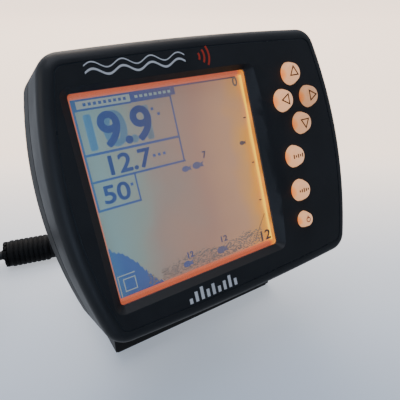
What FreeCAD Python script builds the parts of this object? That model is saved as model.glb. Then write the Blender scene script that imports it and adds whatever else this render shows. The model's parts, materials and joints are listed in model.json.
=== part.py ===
import FreeCAD, Part
import math
import os

from FreeCAD import Vector

# Fish finder: a display head on a tilt and swivel mount, with its lead. Millimetres.
# Row frame: origin at the centre of the foot's underside, +Z up, the display faces -Y.
# Head pieces are drawn upright in the head's own frame, whose origin is the tilt pivot,
# with the display facing -Y, and are then tilted back and lifted into place.

# Stance
PIVOT_Z = 70.0
TILT_BACK = 23.4

# Case
CASE_HALF_W = 75.0
CASE_HALF_H = 59.5
SIDE_R = 195.0
TOP_R = 1400.0
CASE_CORNER = 10.0
CASE_Z = 12.0
FACE_Y = -68.0
SEAM_Y = -43.0
GASKET_T = 1.2
BACK_Y = -18.0
FACE_WALL = 4.0
CASE_WALL = 2.5
FRONT_EDGE_R = 5.2
BACK_EDGE_R = 9.0
FIELD_INSET = 5.6
FIELD_GROOVE_W = 0.6
FIELD_GROOVE_D = 0.4

# Display window, centred left of the case's middle
WINDOW_X = -18.2
WINDOW_W = 82.5
WINDOW_H = 85.0
WINDOW_CORNER = 1.6
RECESS_D = 3.0
RECESS_LEFT = 44.7
RECESS_RIGHT = 44.4
RECESS_BULGE = 2.6
RECESS_TOP = 44.4
RECESS_BOTTOM = 45.2
RECESS_CORNER = 4.0

# Display stack, front to back
FLANGE_W = 88.0
FLANGE_H = 90.6
TAPE_T = 0.3
LENS_T = 1.2
RIM_T = 2.2
VIEW_LEFT = 39.6
VIEW_RIGHT = 39.8
VIEW_TOP = 40.6
VIEW_BOTTOM = 40.9
GLASS_T = 2.8
GUIDE_T = 3.0
GUIDE_W = 82.0
GUIDE_H = 83.0
TRAY_WALL = 1.3
TRAY_BACK_Y = -50.7
STACK_GAP = 0.1

# Keys: name, x, z and radius in the head frame
KEY_R = 5.3
POWER_R = 4.0
KEYS = [
    ("key_up", 47.1, CASE_Z + 37.0, KEY_R),
    ("key_right", 56.3, CASE_Z + 24.8, KEY_R),
    ("key_left", 39.7, CASE_Z + 25.0, KEY_R),
    ("key_down", 48.9, CASE_Z + 12.6, KEY_R),
    ("key_enter", 40.8, CASE_Z - 2.6, KEY_R),
    ("key_setup", 40.7, CASE_Z - 19.8, KEY_R),
    ("key_power", 40.1, CASE_Z - 34.8, POWER_R),
]
KEY_CLEAR = 0.3
KEY_PROUD = 3.1
KEY_TAPER = 0.8
KEY_EDGE_R = 0.9
KEY_FLANGE = 1.3
KEY_FLANGE_T = 1.2
KEY_STEM_R = 2.0
KEY_STEM_END_Y = -61.0
KEY_MAT_Y = -60.6
KEY_MAT_T = 1.0
KEY_BOARD_Y = -59.2
DOME_R = 2.3
DOME_H = 0.35

# Case screws, front posts and board
CASE_SCREW_XZ = [(sx * 56.0, CASE_Z + sz * 52.0) for sx in (-1, 1) for sz in (-1, 1)]
CASE_SCREW_XZ += [(0.0, CASE_Z + sz * 52.6) for sz in (-1, 1)]
BOSS_R = 3.6
POST_R = 2.6
POST_XZ = [(x, CASE_Z + sz * 50.2) for x in (-44.0, 18.0) for sz in (-1, 1)]
BOARD_HALF_W = 51.0
BOARD_HALF_H = 53.5
BOARD_T = 1.6
BOARD_Y = -50.6

# Shallow recess for a rating label on the back
LABEL_HALF_W = 32.0
LABEL_Z = (-42.0, -25.0)
LABEL_DEPTH = 0.5

# Tilt bracket, bolt and knob
LUG_X = 13.0
LUG_T = 5.0
LUG_R = 11.0
PLATE_HALF_W = 25.0
PLATE_Z = (-19.0, 21.0)
PLATE_T = 3.5
BOLT_R = 4.0
FIT = 0.05
BRACKET_SCREW_XZ = [(sx * 19.5, z) for sx in (-1, 1) for z in (-15.0, 16.5)]
BRACKET_SCREW_R = 1.8
KNOB_X = (19.2, 34.0)
KNOB_R = 13.5
KNOB_LOBE_R = 4.0
KNOB_LOBES = 6
KNOB_EDGE_R = 1.2
INSERT_R = 6.5

# Transducer socket on the back of the head
SOCKET_X = 48.0
SOCKET_Z = 18.0
SOCKET_R = 9.5
SOCKET_BORE_R = 7.5
SOCKET_DEPTH = 10.0
SOCKET_PROUD = 10.0
PIN_REACH = 4.0

# Foot
FOOT_W = 109.0
FOOT_D = 72.0
FOOT_H = 14.0
PAD_T = 1.2
FOOT_WALL = 3.0
FOOT_EDGE_R = 0.8
FOOT_SCREW_X = 44.0
FOOT_SCREW_Y = 26.0
FOOT_SCREW_R = 2.4
SWIVEL_R = 5.0

# Stem
STEM_FLANGE_R = 26.0
GLIDE_T = 0.8
STEM_FLANGE_T = 5.2
BARREL_HALF_W = 12.6
BARREL_R = 11.0

# Leads
PIGTAIL_D = 4.5
LEAD_D = 6.3
NOTCH_X = -24.0
GROMMET_Z = 7.0
PLUG_AXIS_Z = 9.4
PLUG_R = 9.4
PLUG_START = Vector(-49.4, 69.7, PLUG_AXIS_Z)
PLUG_DIR = Vector(-math.cos(math.radians(13.0)), math.sin(math.radians(13.0)), 0.0)
SOCKET_HALF_L = 12.0
PLUG_L = 28.0
PLUG_NOSE_L = 4.0
FLOOR_Z = LEAD_D / 2 + 0.05

PIGTAIL_ROUTE = [
    (NOTCH_X, 38.0, GROMMET_Z),
    (-24.0, 49.4, 6.4),
    (-28.9, 59.8, 6.3),
    (-37.9, 67.0, 7.6),
    (-49.4, 69.7, PLUG_AXIS_Z),
]
LEAD_ROUTE = [
    (-92.3, 79.6, PLUG_AXIS_Z),
    (-106.9, 83.0, 8.2),
    (-119.5, 85.4, 4.0),
    (-133.5, 88.9, FLOOR_Z),
    (-147.0, 92.0, FLOOR_Z),
]
COIL_CENTRE = (-156.6, 50.5)
COIL_TURN_R = [30.0, 36.3, 42.6]
COIL_LAYERS = 3
TAIL_ROUTE = [
    (-199.2, 50.5, 15.8),
    (-199.4, 36.0, 15.7),
    (-199.8, 21.5, 12.6),
    (-198.6, 7.0, 7.2),
    (-197.8, -7.5, 4.8),
    (-198.4, -21.0, 4.4),
]
POWER_PLUG_L = 32.0
POWER_PLUG_W = 14.0
POWER_PLUG_H = 8.6

X_AXIS = Vector(1, 0, 0)
Y_AXIS = Vector(0, 1, 0)
Z_AXIS = Vector(0, 0, 1)


# Helpers

def box(x, y, z):
    """Block between the low and high value of each axis."""
    return Part.makeBox(x[1] - x[0], y[1] - y[0], z[1] - z[0], Vector(x[0], y[0], z[0]))


def rod(start, end, radius):
    """Cylinder from start to end."""
    start = Vector(*start)
    along = Vector(*end) - start
    return Part.makeCylinder(radius, along.Length, start, along)


def y_rod(x, z, y0, y1, radius):
    """Cylinder along Y."""
    return rod((x, y0, z), (x, y1, z), radius)


def tube_ring(start, end, outer, inner):
    """Cylinder along a line with a round hole through it."""
    return rod(start, end, outer).cut(rod(start, end, inner))


def turned(profile, start, direction):
    """Solid of revolution: profile is a list of (distance along the axis, radius)."""
    points = [Vector(r, 0, a) for a, r in profile]
    ends = [Vector(0, 0, profile[-1][0]), Vector(0, 0, profile[0][0])]
    face = Part.Face(Part.makePolygon(points + ends + [points[0]]))
    solid = face.revolve(Vector(0, 0, 0), Z_AXIS, 360)
    turn = FreeCAD.Rotation(Z_AXIS, Vector(*direction))
    solid.Placement = FreeCAD.Placement(Vector(*start), turn)
    return solid


def edges_at(shape, axis, value):
    """Edges that lie wholly at one value of x, y or z."""
    return [e for e in shape.Edges if all(abs(getattr(v.Point, axis) - value) < 1e-4 for v in e.Vertexes)]


def sag(radius, offset):
    """How far an arc of this radius falls away at an offset from its middle."""
    return radius - math.sqrt(radius * radius - offset * offset)


def case_prism(inset, y0, y1):
    """The case's outline, moved in by inset, extruded from y0 to y1."""
    half_w = CASE_HALF_W - inset
    half_h = CASE_HALF_H - inset
    side_r = SIDE_R - inset
    top_r = TOP_R - inset
    x, z = half_w, half_h
    for _ in range(20):
        x = half_w - sag(side_r, z)
        z = half_h - sag(top_r, x)
    low, mid, high = CASE_Z - z, CASE_Z, CASE_Z + z
    arcs = [
        Part.Arc(Vector(-x, y0, high), Vector(0, y0, mid + half_h), Vector(x, y0, high)),
        Part.Arc(Vector(x, y0, high), Vector(half_w, y0, mid), Vector(x, y0, low)),
        Part.Arc(Vector(x, y0, low), Vector(0, y0, mid - half_h), Vector(-x, y0, low)),
        Part.Arc(Vector(-x, y0, low), Vector(-half_w, y0, mid), Vector(-x, y0, high)),
    ]
    face = Part.Face(Part.Wire([arc.toShape() for arc in arcs]))
    prism = face.extrude(Vector(0, y1 - y0, 0))
    corners = [e for e in prism.Edges if abs(e.Vertexes[0].Y - e.Vertexes[-1].Y) > 1e-4]
    return prism.makeFillet(max(CASE_CORNER - inset, 1.0), corners)


def window_wire(left, right, bottom, top, corner, y, bulge=0.0):
    """Rounded rectangle about the window's centre; its right side may bulge outwards."""
    x0, x1 = WINDOW_X - left, WINDOW_X + right
    z0, z1 = CASE_Z - bottom, CASE_Z + top
    k = corner * (1 - math.sqrt(0.5))

    def at(x, z):
        return Vector(x, y, z)

    right_side = Part.LineSegment(at(x1, z1 - corner), at(x1, z0 + corner))
    if bulge:
        right_side = Part.Arc(at(x1, z1 - corner), at(x1 + bulge, CASE_Z), at(x1, z0 + corner))
    edges = [
        Part.LineSegment(at(x0 + corner, z1), at(x1 - corner, z1)),
        Part.Arc(at(x1 - corner, z1), at(x1 - k, z1 - k), at(x1, z1 - corner)),
        right_side,
        Part.Arc(at(x1, z0 + corner), at(x1 - k, z0 + k), at(x1 - corner, z0)),
        Part.LineSegment(at(x1 - corner, z0), at(x0 + corner, z0)),
        Part.Arc(at(x0 + corner, z0), at(x0 + k, z0 + k), at(x0, z0 + corner)),
        Part.LineSegment(at(x0, z0 + corner), at(x0, z1 - corner)),
        Part.Arc(at(x0, z1 - corner), at(x0 + k, z1 - k), at(x0 + corner, z1)),
    ]
    return Part.Wire([e.toShape() for e in edges])


def window_plate(width, height, corner, y0, y1):
    """Rounded plate centred on the window."""
    wire = window_wire(width / 2, width / 2, height / 2, height / 2, corner, y0)
    return Part.Face(wire).extrude(Vector(0, y1 - y0, 0))


def route_tube(name, route, diameter):
    """Tube along straight runs joined by tangent arcs, each as large as its two runs allow."""
    points = [Vector(*p) for p in route]
    runs = [(b - a).Length for a, b in zip(points, points[1:])]
    edges = []
    radii = []
    last = points[0]
    for i in range(1, len(points) - 1):
        before = (points[i - 1] - points[i]).normalize()
        after = (points[i + 1] - points[i]).normalize()
        half_turn = (math.pi - before.getAngle(after)) / 2
        reach = 0.45 * min(runs[i - 1], runs[i])
        radius = reach / math.tan(half_turn)
        start = points[i] + before * reach
        end = points[i] + after * reach
        inward = (before + after).normalize()
        middle = points[i] + inward * (radius / math.cos(half_turn) - radius)
        edges.append(Part.LineSegment(last, start).toShape())
        edges.append(Part.Arc(start, middle, end).toShape())
        radii.append(radius)
        last = end
    edges.append(Part.LineSegment(last, points[-1]).toShape())
    path = Part.Wire(edges)
    ring = Part.Wire(Part.makeCircle(diameter / 2, points[0], points[1] - points[0]))
    solid = path.makePipeShell([ring], True, False)
    expected = math.pi * diameter * diameter / 4 * path.Length
    print(name, "length %.1f" % path.Length, "radii", [round(r, 1) for r in radii],
          "volume ratio %.4f" % (solid.Volume / expected))
    return solid


def in_head(shape):
    """Tilts an upright head piece back about the pivot and lifts it into place."""
    tilted = shape.copy()
    tilted.rotate(Vector(0, 0, 0), X_AXIS, -TILT_BACK)
    tilted.translate(Vector(0, 0, PIVOT_Z))
    return tilted


# Case

def front_shell():
    """Front housing: rounded rim, window recess, key holes, screw bosses and board posts."""
    body = case_prism(0, FACE_Y, SEAM_Y)
    body = body.makeFillet(FRONT_EDGE_R, edges_at(body, "y", FACE_Y))
    inside_y = FACE_Y + FACE_WALL
    body = body.cut(case_prism(CASE_WALL, inside_y, SEAM_Y))
    groove = case_prism(FIELD_INSET, FACE_Y, FACE_Y + FIELD_GROOVE_D)
    groove = groove.cut(case_prism(FIELD_INSET + FIELD_GROOVE_W, FACE_Y, FACE_Y + FIELD_GROOVE_D))
    body = body.cut(groove)
    floor_y = FACE_Y + RECESS_D
    mouth = window_wire(RECESS_LEFT, RECESS_RIGHT, RECESS_BOTTOM, RECESS_TOP, RECESS_CORNER,
                        FACE_Y, RECESS_BULGE)
    foot = window_wire(WINDOW_W / 2, WINDOW_W / 2, WINDOW_H / 2, WINDOW_H / 2, WINDOW_CORNER, floor_y)
    body = body.cut(Part.makeLoft([mouth, foot], True, True))
    body = body.cut(window_plate(WINDOW_W, WINDOW_H, WINDOW_CORNER, floor_y, inside_y))
    bosses = [y_rod(x, z, inside_y - 0.5, SEAM_Y, BOSS_R) for x, z in CASE_SCREW_XZ]
    posts = [y_rod(x, z, inside_y - 0.5, BOARD_Y, POST_R) for x, z in POST_XZ]
    body = body.fuse(bosses + posts)
    pilots = [y_rod(x, z, inside_y + 2, SEAM_Y, 1.3) for x, z in CASE_SCREW_XZ]
    pilots += [y_rod(x, z, inside_y + 2, BOARD_Y, 1.05) for x, z in POST_XZ]
    holes = [y_rod(x, z, FACE_Y - 1, inside_y + 1, r + KEY_CLEAR) for _, x, z, r in KEYS]
    return body.cut(pilots + holes).removeSplitter()


def rear_shell():
    """Back housing with screw bosses, bracket bosses and the opening for the socket."""
    start = SEAM_Y + GASKET_T
    body = case_prism(0, start, BACK_Y)
    body = body.makeFillet(BACK_EDGE_R, edges_at(body, "y", BACK_Y))
    hollow = case_prism(CASE_WALL, start, BACK_Y - CASE_WALL)
    hollow = hollow.makeFillet(BACK_EDGE_R - CASE_WALL, edges_at(hollow, "y", BACK_Y - CASE_WALL))
    body = body.cut(hollow)
    bosses = [y_rod(x, z, start, BACK_Y - 2.2, BOSS_R) for x, z in CASE_SCREW_XZ]
    bosses += [y_rod(x, z, BACK_Y - 12, BACK_Y - 2.2, BOSS_R) for x, z in BRACKET_SCREW_XZ]
    body = body.fuse(bosses)
    holes = [y_rod(x, z, start - 1, BACK_Y + 1, 1.6) for x, z in CASE_SCREW_XZ]
    holes += [y_rod(x, z, BACK_Y - 4.2, BACK_Y + 1, 3.1) for x, z in CASE_SCREW_XZ]
    holes += [y_rod(x, z, BACK_Y - 10.5, BACK_Y + 1, BRACKET_SCREW_R + FIT) for x, z in BRACKET_SCREW_XZ]
    holes.append(y_rod(SOCKET_X, SOCKET_Z, BACK_Y - 5, BACK_Y + 1, SOCKET_R + FIT))
    holes.append(box((-LABEL_HALF_W, LABEL_HALF_W), (BACK_Y - LABEL_DEPTH, BACK_Y + 1), LABEL_Z))
    return body.cut(holes).removeSplitter()


def case_gasket():
    """Rubber ring in the seam between the two shells."""
    start, end = SEAM_Y, SEAM_Y + GASKET_T
    return case_prism(0.5, start, end).cut(case_prism(CASE_WALL, start, end))


def case_screws():
    """Six screws from the back through the rear bosses into the front ones."""
    screws = []
    for x, z in CASE_SCREW_XZ:
        head = y_rod(x, z, BACK_Y - 4.2, BACK_Y - 2.2, 2.9)
        shaft = y_rod(x, z, SEAM_Y - 12, BACK_Y - 4.0, 1.25)
        drive = y_rod(x, z, BACK_Y - 3.3, BACK_Y, 1.1)
        screws.append(head.fuse(shaft).cut(drive))
    return Part.makeCompound(screws)


# Display

STACK_Y = FACE_Y + FACE_WALL
LENS_Y = STACK_Y + TAPE_T
RIM_Y = LENS_Y + LENS_T + STACK_GAP
GLASS_Y = RIM_Y + RIM_T + STACK_GAP
GUIDE_Y = GLASS_Y + GLASS_T + STACK_GAP
TRAY_FLOOR_Y = GUIDE_Y + GUIDE_T + STACK_GAP


def window_lens():
    """Clear window: a flange behind the front wall and a step that fills the opening."""
    flange = window_plate(FLANGE_W, FLANGE_H, WINDOW_CORNER, LENS_Y, LENS_Y + LENS_T)
    step = window_plate(WINDOW_W - 0.2, WINDOW_H - 0.2, WINDOW_CORNER, FACE_Y + RECESS_D + 0.05, LENS_Y + 0.5)
    return flange.fuse(step).removeSplitter()


def window_tape():
    """Adhesive ring that seals the window to the front wall."""
    ring = window_plate(FLANGE_W, FLANGE_H, WINDOW_CORNER, STACK_Y, LENS_Y)
    return ring.cut(window_plate(WINDOW_W + 0.4, WINDOW_H + 0.4, WINDOW_CORNER, STACK_Y, LENS_Y))


def light_rim():
    """Translucent frame round the display that carries the lamp light to its edges."""
    frame = window_plate(FLANGE_W, FLANGE_H, WINDOW_CORNER, RIM_Y, RIM_Y + RIM_T)
    view = window_wire(VIEW_LEFT, VIEW_RIGHT, VIEW_BOTTOM, VIEW_TOP, 1.2, RIM_Y)
    return frame.cut(Part.Face(view).extrude(Vector(0, RIM_T, 0)))


def lcd_glass():
    """Liquid-crystal cell."""
    return window_plate(FLANGE_W, FLANGE_H, 0.8, GLASS_Y, GLASS_Y + GLASS_T)


def light_guide():
    """Acrylic plate behind the glass that spreads the lamp light."""
    return window_plate(GUIDE_W, GUIDE_H, 0.8, GUIDE_Y, GUIDE_Y + GUIDE_T)


def lamp_strip():
    """Lamp carrier with its row of lamps, at the right edge of the light guide."""
    x = WINDOW_X + GUIDE_W / 2 + 0.3
    strip = box((x + 1.0, x + 1.8), (GUIDE_Y, GUIDE_Y + GUIDE_T), (CASE_Z - 38, CASE_Z + 38))
    lamps = [box((x, x + 1.0), (GUIDE_Y + 0.5, GUIDE_Y + 2.5), (CASE_Z + z - 1.5, CASE_Z + z + 1.5))
             for z in (-30, -18, -6, 6, 18, 30)]
    return strip.fuse(lamps).removeSplitter()


def display_tray():
    """Tray that holds the display stack against the front wall, backed by the main board."""
    wall_w = FLANGE_W + 2 * TRAY_WALL + 0.4
    wall_h = FLANGE_H + 2 * TRAY_WALL + 0.4
    tray = window_plate(wall_w, wall_h, 2.0, RIM_Y, TRAY_BACK_Y)
    tray = tray.cut(window_plate(FLANGE_W + 0.4, FLANGE_H + 0.4, 1.6, RIM_Y, TRAY_FLOOR_Y))
    tray = tray.cut(window_plate(wall_w - 8, wall_h - 14, 2.0, TRAY_FLOOR_Y + 1.4, TRAY_BACK_Y))
    slots = [strip_box(sz, 0.3, TRAY_FLOOR_Y - 1, TRAY_BACK_Y) for sz in (-1, 1)]
    return tray.cut(slots).removeSplitter()


def strip_box(side, grow, y0, y1):
    """Space of one elastomer strip, above or below the light guide."""
    x = (WINDOW_X - 38 - grow, WINDOW_X + 38 + grow)
    z = CASE_Z + side * 43.2
    return box(x, (y0, y1), (z - 1.0 - grow, z + 1.0 + grow))


def elastomer_strips():
    """Two conductive rubber strips between the glass and the main board."""
    return Part.makeCompound([strip_box(sz, 0, GLASS_Y + GLASS_T, BOARD_Y) for sz in (-1, 1)])


# Electronics

def main_board():
    """Main circuit board, screwed to the front shell's posts behind the display tray."""
    board = box((-BOARD_HALF_W, BOARD_HALF_W), (BOARD_Y, BOARD_Y + BOARD_T),
                (CASE_Z - BOARD_HALF_H, CASE_Z + BOARD_HALF_H))
    holes = [y_rod(x, z, BOARD_Y - 1, BOARD_Y + BOARD_T + 1, 1.3) for x, z in POST_XZ]
    holes += [y_rod(x, z, BOARD_Y - 1, BOARD_Y + BOARD_T + 1, BOSS_R + 0.5)
              for x, z in CASE_SCREW_XZ if x == 0]
    return board.cut(holes)


def board_screws():
    """Four small screws that hold the main board."""
    screws = []
    for x, z in POST_XZ:
        head = y_rod(x, z, BOARD_Y + BOARD_T, BOARD_Y + BOARD_T + 1.4, 2.2)
        screws.append(head.fuse(y_rod(x, z, BOARD_Y - 7, BOARD_Y + BOARD_T, 1.0)))
    return Part.makeCompound(screws)


def board_part(x, z, height):
    """Block that stands on the back of the main board."""
    y = BOARD_Y + BOARD_T
    return box(x, (y, y + height), (CASE_Z + z[0], CASE_Z + z[1]))


def shield_can():
    """Tin shield over the echo receiver, open towards the board."""
    can = board_part((-46, -10), (10, 38), 5.0)
    y = BOARD_Y + BOARD_T
    return can.cut(box((-45.6, -10.4), (y, y + 4.6), (CASE_Z + 10.4, CASE_Z + 37.6)))


def sonar_transformer():
    """Ferrite-cored transformer that drives the transducer."""
    core = board_part((22, 40), (-34, -16), 3.0)
    y = BOARD_Y + BOARD_T
    return core.fuse([y_rod(31, CASE_Z - 25, y + 3, y + 11, 7.5), y_rod(31, CASE_Z - 25, y + 11, y + 13, 9.0)])


def capacitors():
    """Three electrolytic capacitors of the transmitter and the power supply."""
    y = BOARD_Y + BOARD_T
    return Part.makeCompound([y_rod(x, CASE_Z - 28, y, y + 12, 5.0) for x in (-40, -27, -14)])


def board_chips():
    """Processor, memory and display controller."""
    return Part.makeCompound([
        board_part((-38, -18), (-12, 4), 2.2),
        board_part((-6, 12), (-12, 2), 2.2),
        board_part((2, 16), (14, 26), 2.2),
    ])


def buzzer():
    """Round alarm sounder."""
    y = BOARD_Y + BOARD_T
    sounder = y_rod(34, CASE_Z + 26, y, y + 6, 8.0)
    return sounder.cut(y_rod(34, CASE_Z + 26, y + 5, y + 6, 1.5))


def key_board():
    """Circuit board under the keys."""
    return box((31, 64.5), (KEY_BOARD_Y, KEY_BOARD_Y + 1.2), (CASE_Z - 42, CASE_Z + 44))


def key_jumper():
    """Flat jumper from the key board to the main board."""
    return box((36, 50), (KEY_BOARD_Y + 1.2, BOARD_Y), (CASE_Z - 40.6, CASE_Z - 40.0))


def key_domes():
    """Seven snap domes, one under each key."""
    return Part.makeCompound([y_rod(x, z, KEY_BOARD_Y - DOME_H, KEY_BOARD_Y, DOME_R) for _, x, z, _ in KEYS])


def key_mat():
    """Silicone sheet with a hole for each key's stem."""
    mat = box((31, 64.5), (KEY_MAT_Y, KEY_MAT_Y + KEY_MAT_T), (CASE_Z - 42, CASE_Z + 44))
    return mat.cut([y_rod(x, z, KEY_MAT_Y - 1, KEY_MAT_Y + KEY_MAT_T + 1, DOME_R + 0.4) for _, x, z, _ in KEYS])


def key(x, z, radius):
    """One key: tapered cap with a rounded edge, flange behind the front wall and stem."""
    cap = Part.makeCone(radius, radius * KEY_TAPER, KEY_PROUD, Vector(x, FACE_Y, z), Vector(0, -1, 0))
    cap = cap.makeFillet(KEY_EDGE_R, edges_at(cap, "y", FACE_Y - KEY_PROUD))
    cap = cap.fuse(y_rod(x, z, FACE_Y, STACK_Y + 0.8, radius))
    flange = y_rod(x, z, STACK_Y + 0.4, STACK_Y + 0.4 + KEY_FLANGE_T, radius + KEY_FLANGE)
    stem = y_rod(x, z, STACK_Y + 1, KEY_STEM_END_Y, KEY_STEM_R)
    return cap.fuse([flange, stem]).removeSplitter()


# Back of the head

def transducer_socket():
    """Round socket for the transducer's plug, open to the back."""
    outer = y_rod(SOCKET_X, SOCKET_Z, BACK_Y - 4, BACK_Y + SOCKET_PROUD, SOCKET_R)
    flange = y_rod(SOCKET_X, SOCKET_Z, BACK_Y - 4, BACK_Y - CASE_WALL, SOCKET_R + 2.5)
    mouth = BACK_Y + SOCKET_PROUD
    bore = y_rod(SOCKET_X, SOCKET_Z, mouth - SOCKET_DEPTH, mouth, SOCKET_BORE_R)
    pins = [y_rod(x, z, BACK_Y - 4, mouth, 0.82) for x, z in pin_places()]
    return outer.fuse(flange).cut([bore] + pins).removeSplitter()


def pin_places():
    """Centres of the four contacts, evenly on a circle."""
    angles = [math.radians(45 + 90 * i) for i in range(4)]
    return [(SOCKET_X + 4 * math.cos(a), SOCKET_Z + 4 * math.sin(a)) for a in angles]


def socket_pins():
    """Four contacts of the transducer socket."""
    pins = []
    for x, z in pin_places():
        pin = y_rod(x, z, BACK_Y - 6, BACK_Y + PIN_REACH, 0.8)
        pins.append(pin.makeFillet(0.4, edges_at(pin, "y", BACK_Y + PIN_REACH)))
    return Part.makeCompound(pins)


def tilt_bracket():
    """Plate on the back of the case with two lugs for the tilt bolt."""
    plate_y = (BACK_Y, BACK_Y + PLATE_T)
    bracket = box((-PLATE_HALF_W, PLATE_HALF_W), plate_y, PLATE_Z)
    bracket = bracket.makeFillet(4.0, [e for e in bracket.Edges if e.Vertexes[0].Y != e.Vertexes[1].Y])
    for side in (-1, 1):
        x0, x1 = sorted((side * LUG_X, side * (LUG_X + LUG_T)))
        lug = rod((x0, 0, 0), (x1, 0, 0), LUG_R).fuse(box((x0, x1), (BACK_Y + 1, 0), (-LUG_R, LUG_R)))
        bracket = bracket.fuse(lug)
    bracket = bracket.cut(rod((-30, 0, 0), (30, 0, 0), BOLT_R + FIT))
    heads = [y_rod(x, z, BACK_Y - 1, BACK_Y + PLATE_T + 1, BRACKET_SCREW_R + FIT) for x, z in BRACKET_SCREW_XZ]
    return bracket.cut(heads).removeSplitter()


def bracket_screws():
    """Four pan-head screws that hold the tilt bracket."""
    screws = []
    for x, z in BRACKET_SCREW_XZ:
        top = BACK_Y + PLATE_T
        head = y_rod(x, z, top, top + 2.0, 3.4)
        head = head.makeFillet(0.8, edges_at(head, "y", top + 2.0))
        cross = box((x - 1.8, x + 1.8), (top + 1.0, top + 2.0), (z - 0.4, z + 0.4))
        cross = cross.fuse(box((x - 0.4, x + 0.4), (top + 1.0, top + 2.0), (z - 1.8, z + 1.8)))
        screws.append(head.fuse(y_rod(x, z, BACK_Y - 9, top, BRACKET_SCREW_R)).cut(cross))
    return Part.makeCompound(screws)


def tilt_bolt():
    """Hexagon bolt through both lugs and the stem's barrel."""
    outer_face = LUG_X + LUG_T
    corners = [(7.5 * math.cos(math.radians(60 * i)), 7.5 * math.sin(math.radians(60 * i))) for i in range(7)]
    hexagon = Part.makePolygon([Vector(-outer_face - 5.3, y, z) for y, z in corners])
    head = Part.Face(hexagon).extrude(Vector(5.3, 0, 0))
    return head.fuse(rod((-outer_face, 0, 0), (KNOB_X[1] - 4.4, 0, 0), BOLT_R)).removeSplitter()


def knob_insert():
    """Threaded brass insert moulded into the knob."""
    return tube_ring((KNOB_X[0], 0, 0), (KNOB_X[1] - 4, 0, 0), INSERT_R, BOLT_R + FIT)


def tilt_knob():
    """Lobed clamp knob, blind at its outer end."""
    knob = rod((KNOB_X[0], 0, 0), (KNOB_X[1], 0, 0), KNOB_R - 3)
    reach = KNOB_R - KNOB_LOBE_R
    for i in range(KNOB_LOBES):
        a = 2 * math.pi * i / KNOB_LOBES
        y, z = reach * math.cos(a), reach * math.sin(a)
        knob = knob.fuse(rod((KNOB_X[0] + 1.5, y, z), (KNOB_X[1], y, z), KNOB_LOBE_R))
    knob = knob.removeSplitter()
    knob = knob.makeFillet(KNOB_EDGE_R, edges_at(knob, "x", KNOB_X[1]))
    return knob.cut(rod((KNOB_X[0], 0, 0), (KNOB_X[1] - 4, 0, 0), INSERT_R))


def lug_washer():
    """Plain washer between the knob and the lug."""
    outer_face = LUG_X + LUG_T
    return tube_ring((outer_face, 0, 0), (outer_face + 1.0, 0, 0), 8.5, BOLT_R + FIT)


# Mount

def stem():
    """Column on a round flange, with the tilt barrel across its top and a wire channel inside."""
    z0 = FOOT_H + GLIDE_T
    z1 = z0 + STEM_FLANGE_T
    flange = rod((0, 0, z0), (0, 0, z1), STEM_FLANGE_R)
    flange = flange.makeFillet(2.0, edges_at(flange, "z", z1))
    neck_z = PIVOT_Z - LUG_R - 1.5
    neck = column_wire(BARREL_HALF_W, 10.0, 4.0, neck_z)
    column = Part.makeLoft([column_wire(18.0, 12.0, 5.0, z1 - 2), neck], True, True)
    neck = Part.Face(neck).extrude(Vector(0, 0, PIVOT_Z - neck_z))
    barrel = rod((-BARREL_HALF_W, 0, PIVOT_Z), (BARREL_HALF_W, 0, PIVOT_Z), BARREL_R)
    body = flange.fuse([column, neck, barrel])
    cuts = [
        rod((-20, 0, PIVOT_Z), (20, 0, PIVOT_Z), BOLT_R + FIT),
        rod((0, 0, z0), (0, 0, 30), SWIVEL_R + 0.02),
        rod((0, 0, 29), (0, 0, 58), 2.9),
    ]
    return body.cut(cuts).removeSplitter()


def column_wire(half_x, half_y, corner, z):
    """Rounded rectangle of the stem's section at height z."""
    plate = box((-half_x, half_x), (-half_y, half_y), (z, z + 1))
    plate = plate.makeFillet(corner, [e for e in plate.Edges if e.Vertexes[0].Z != e.Vertexes[1].Z])
    face = [f for f in plate.Faces if abs(f.BoundBox.ZMax - z) < 1e-6][0]
    return face.OuterWire


def tilt_washers():
    """Two friction washers between the barrel and the lugs."""
    rings = [tube_ring((x, 0, PIVOT_Z), (x + 0.35, 0, PIVOT_Z), 10.0, BOLT_R + 0.2)
             for x in (-BARREL_HALF_W - 0.36, BARREL_HALF_W + 0.01)]
    return Part.makeCompound(rings)


def swivel_bolt():
    """Hollow vertical bolt that carries the stem and turns with it in the foot."""
    profile = [(0, 8.5), (3.8, 8.5), (3.8, SWIVEL_R), (27.0, SWIVEL_R)]
    return turned(profile, (0, 0, 2.4), (0, 0, 1)).cut(rod((0, 0, 2), (0, 0, 31), 2.4))


def wave_washer():
    """Spring washer that keeps the swivel under load."""
    return tube_ring((0, 0, 6.2), (0, 0, 7.0), 9.0, SWIVEL_R + 0.3)


def swivel_glide():
    """Acetal glide ring between the foot and the stem's flange."""
    return tube_ring((0, 0, FOOT_H), (0, 0, FOOT_H + GLIDE_T), 24.0, SWIVEL_R + 0.3)


def foot_screw_places():
    """Centres of the foot's four screw holes."""
    return [(sx * FOOT_SCREW_X, sy * FOOT_SCREW_Y) for sx in (-1, 1) for sy in (-1, 1)]


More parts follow.
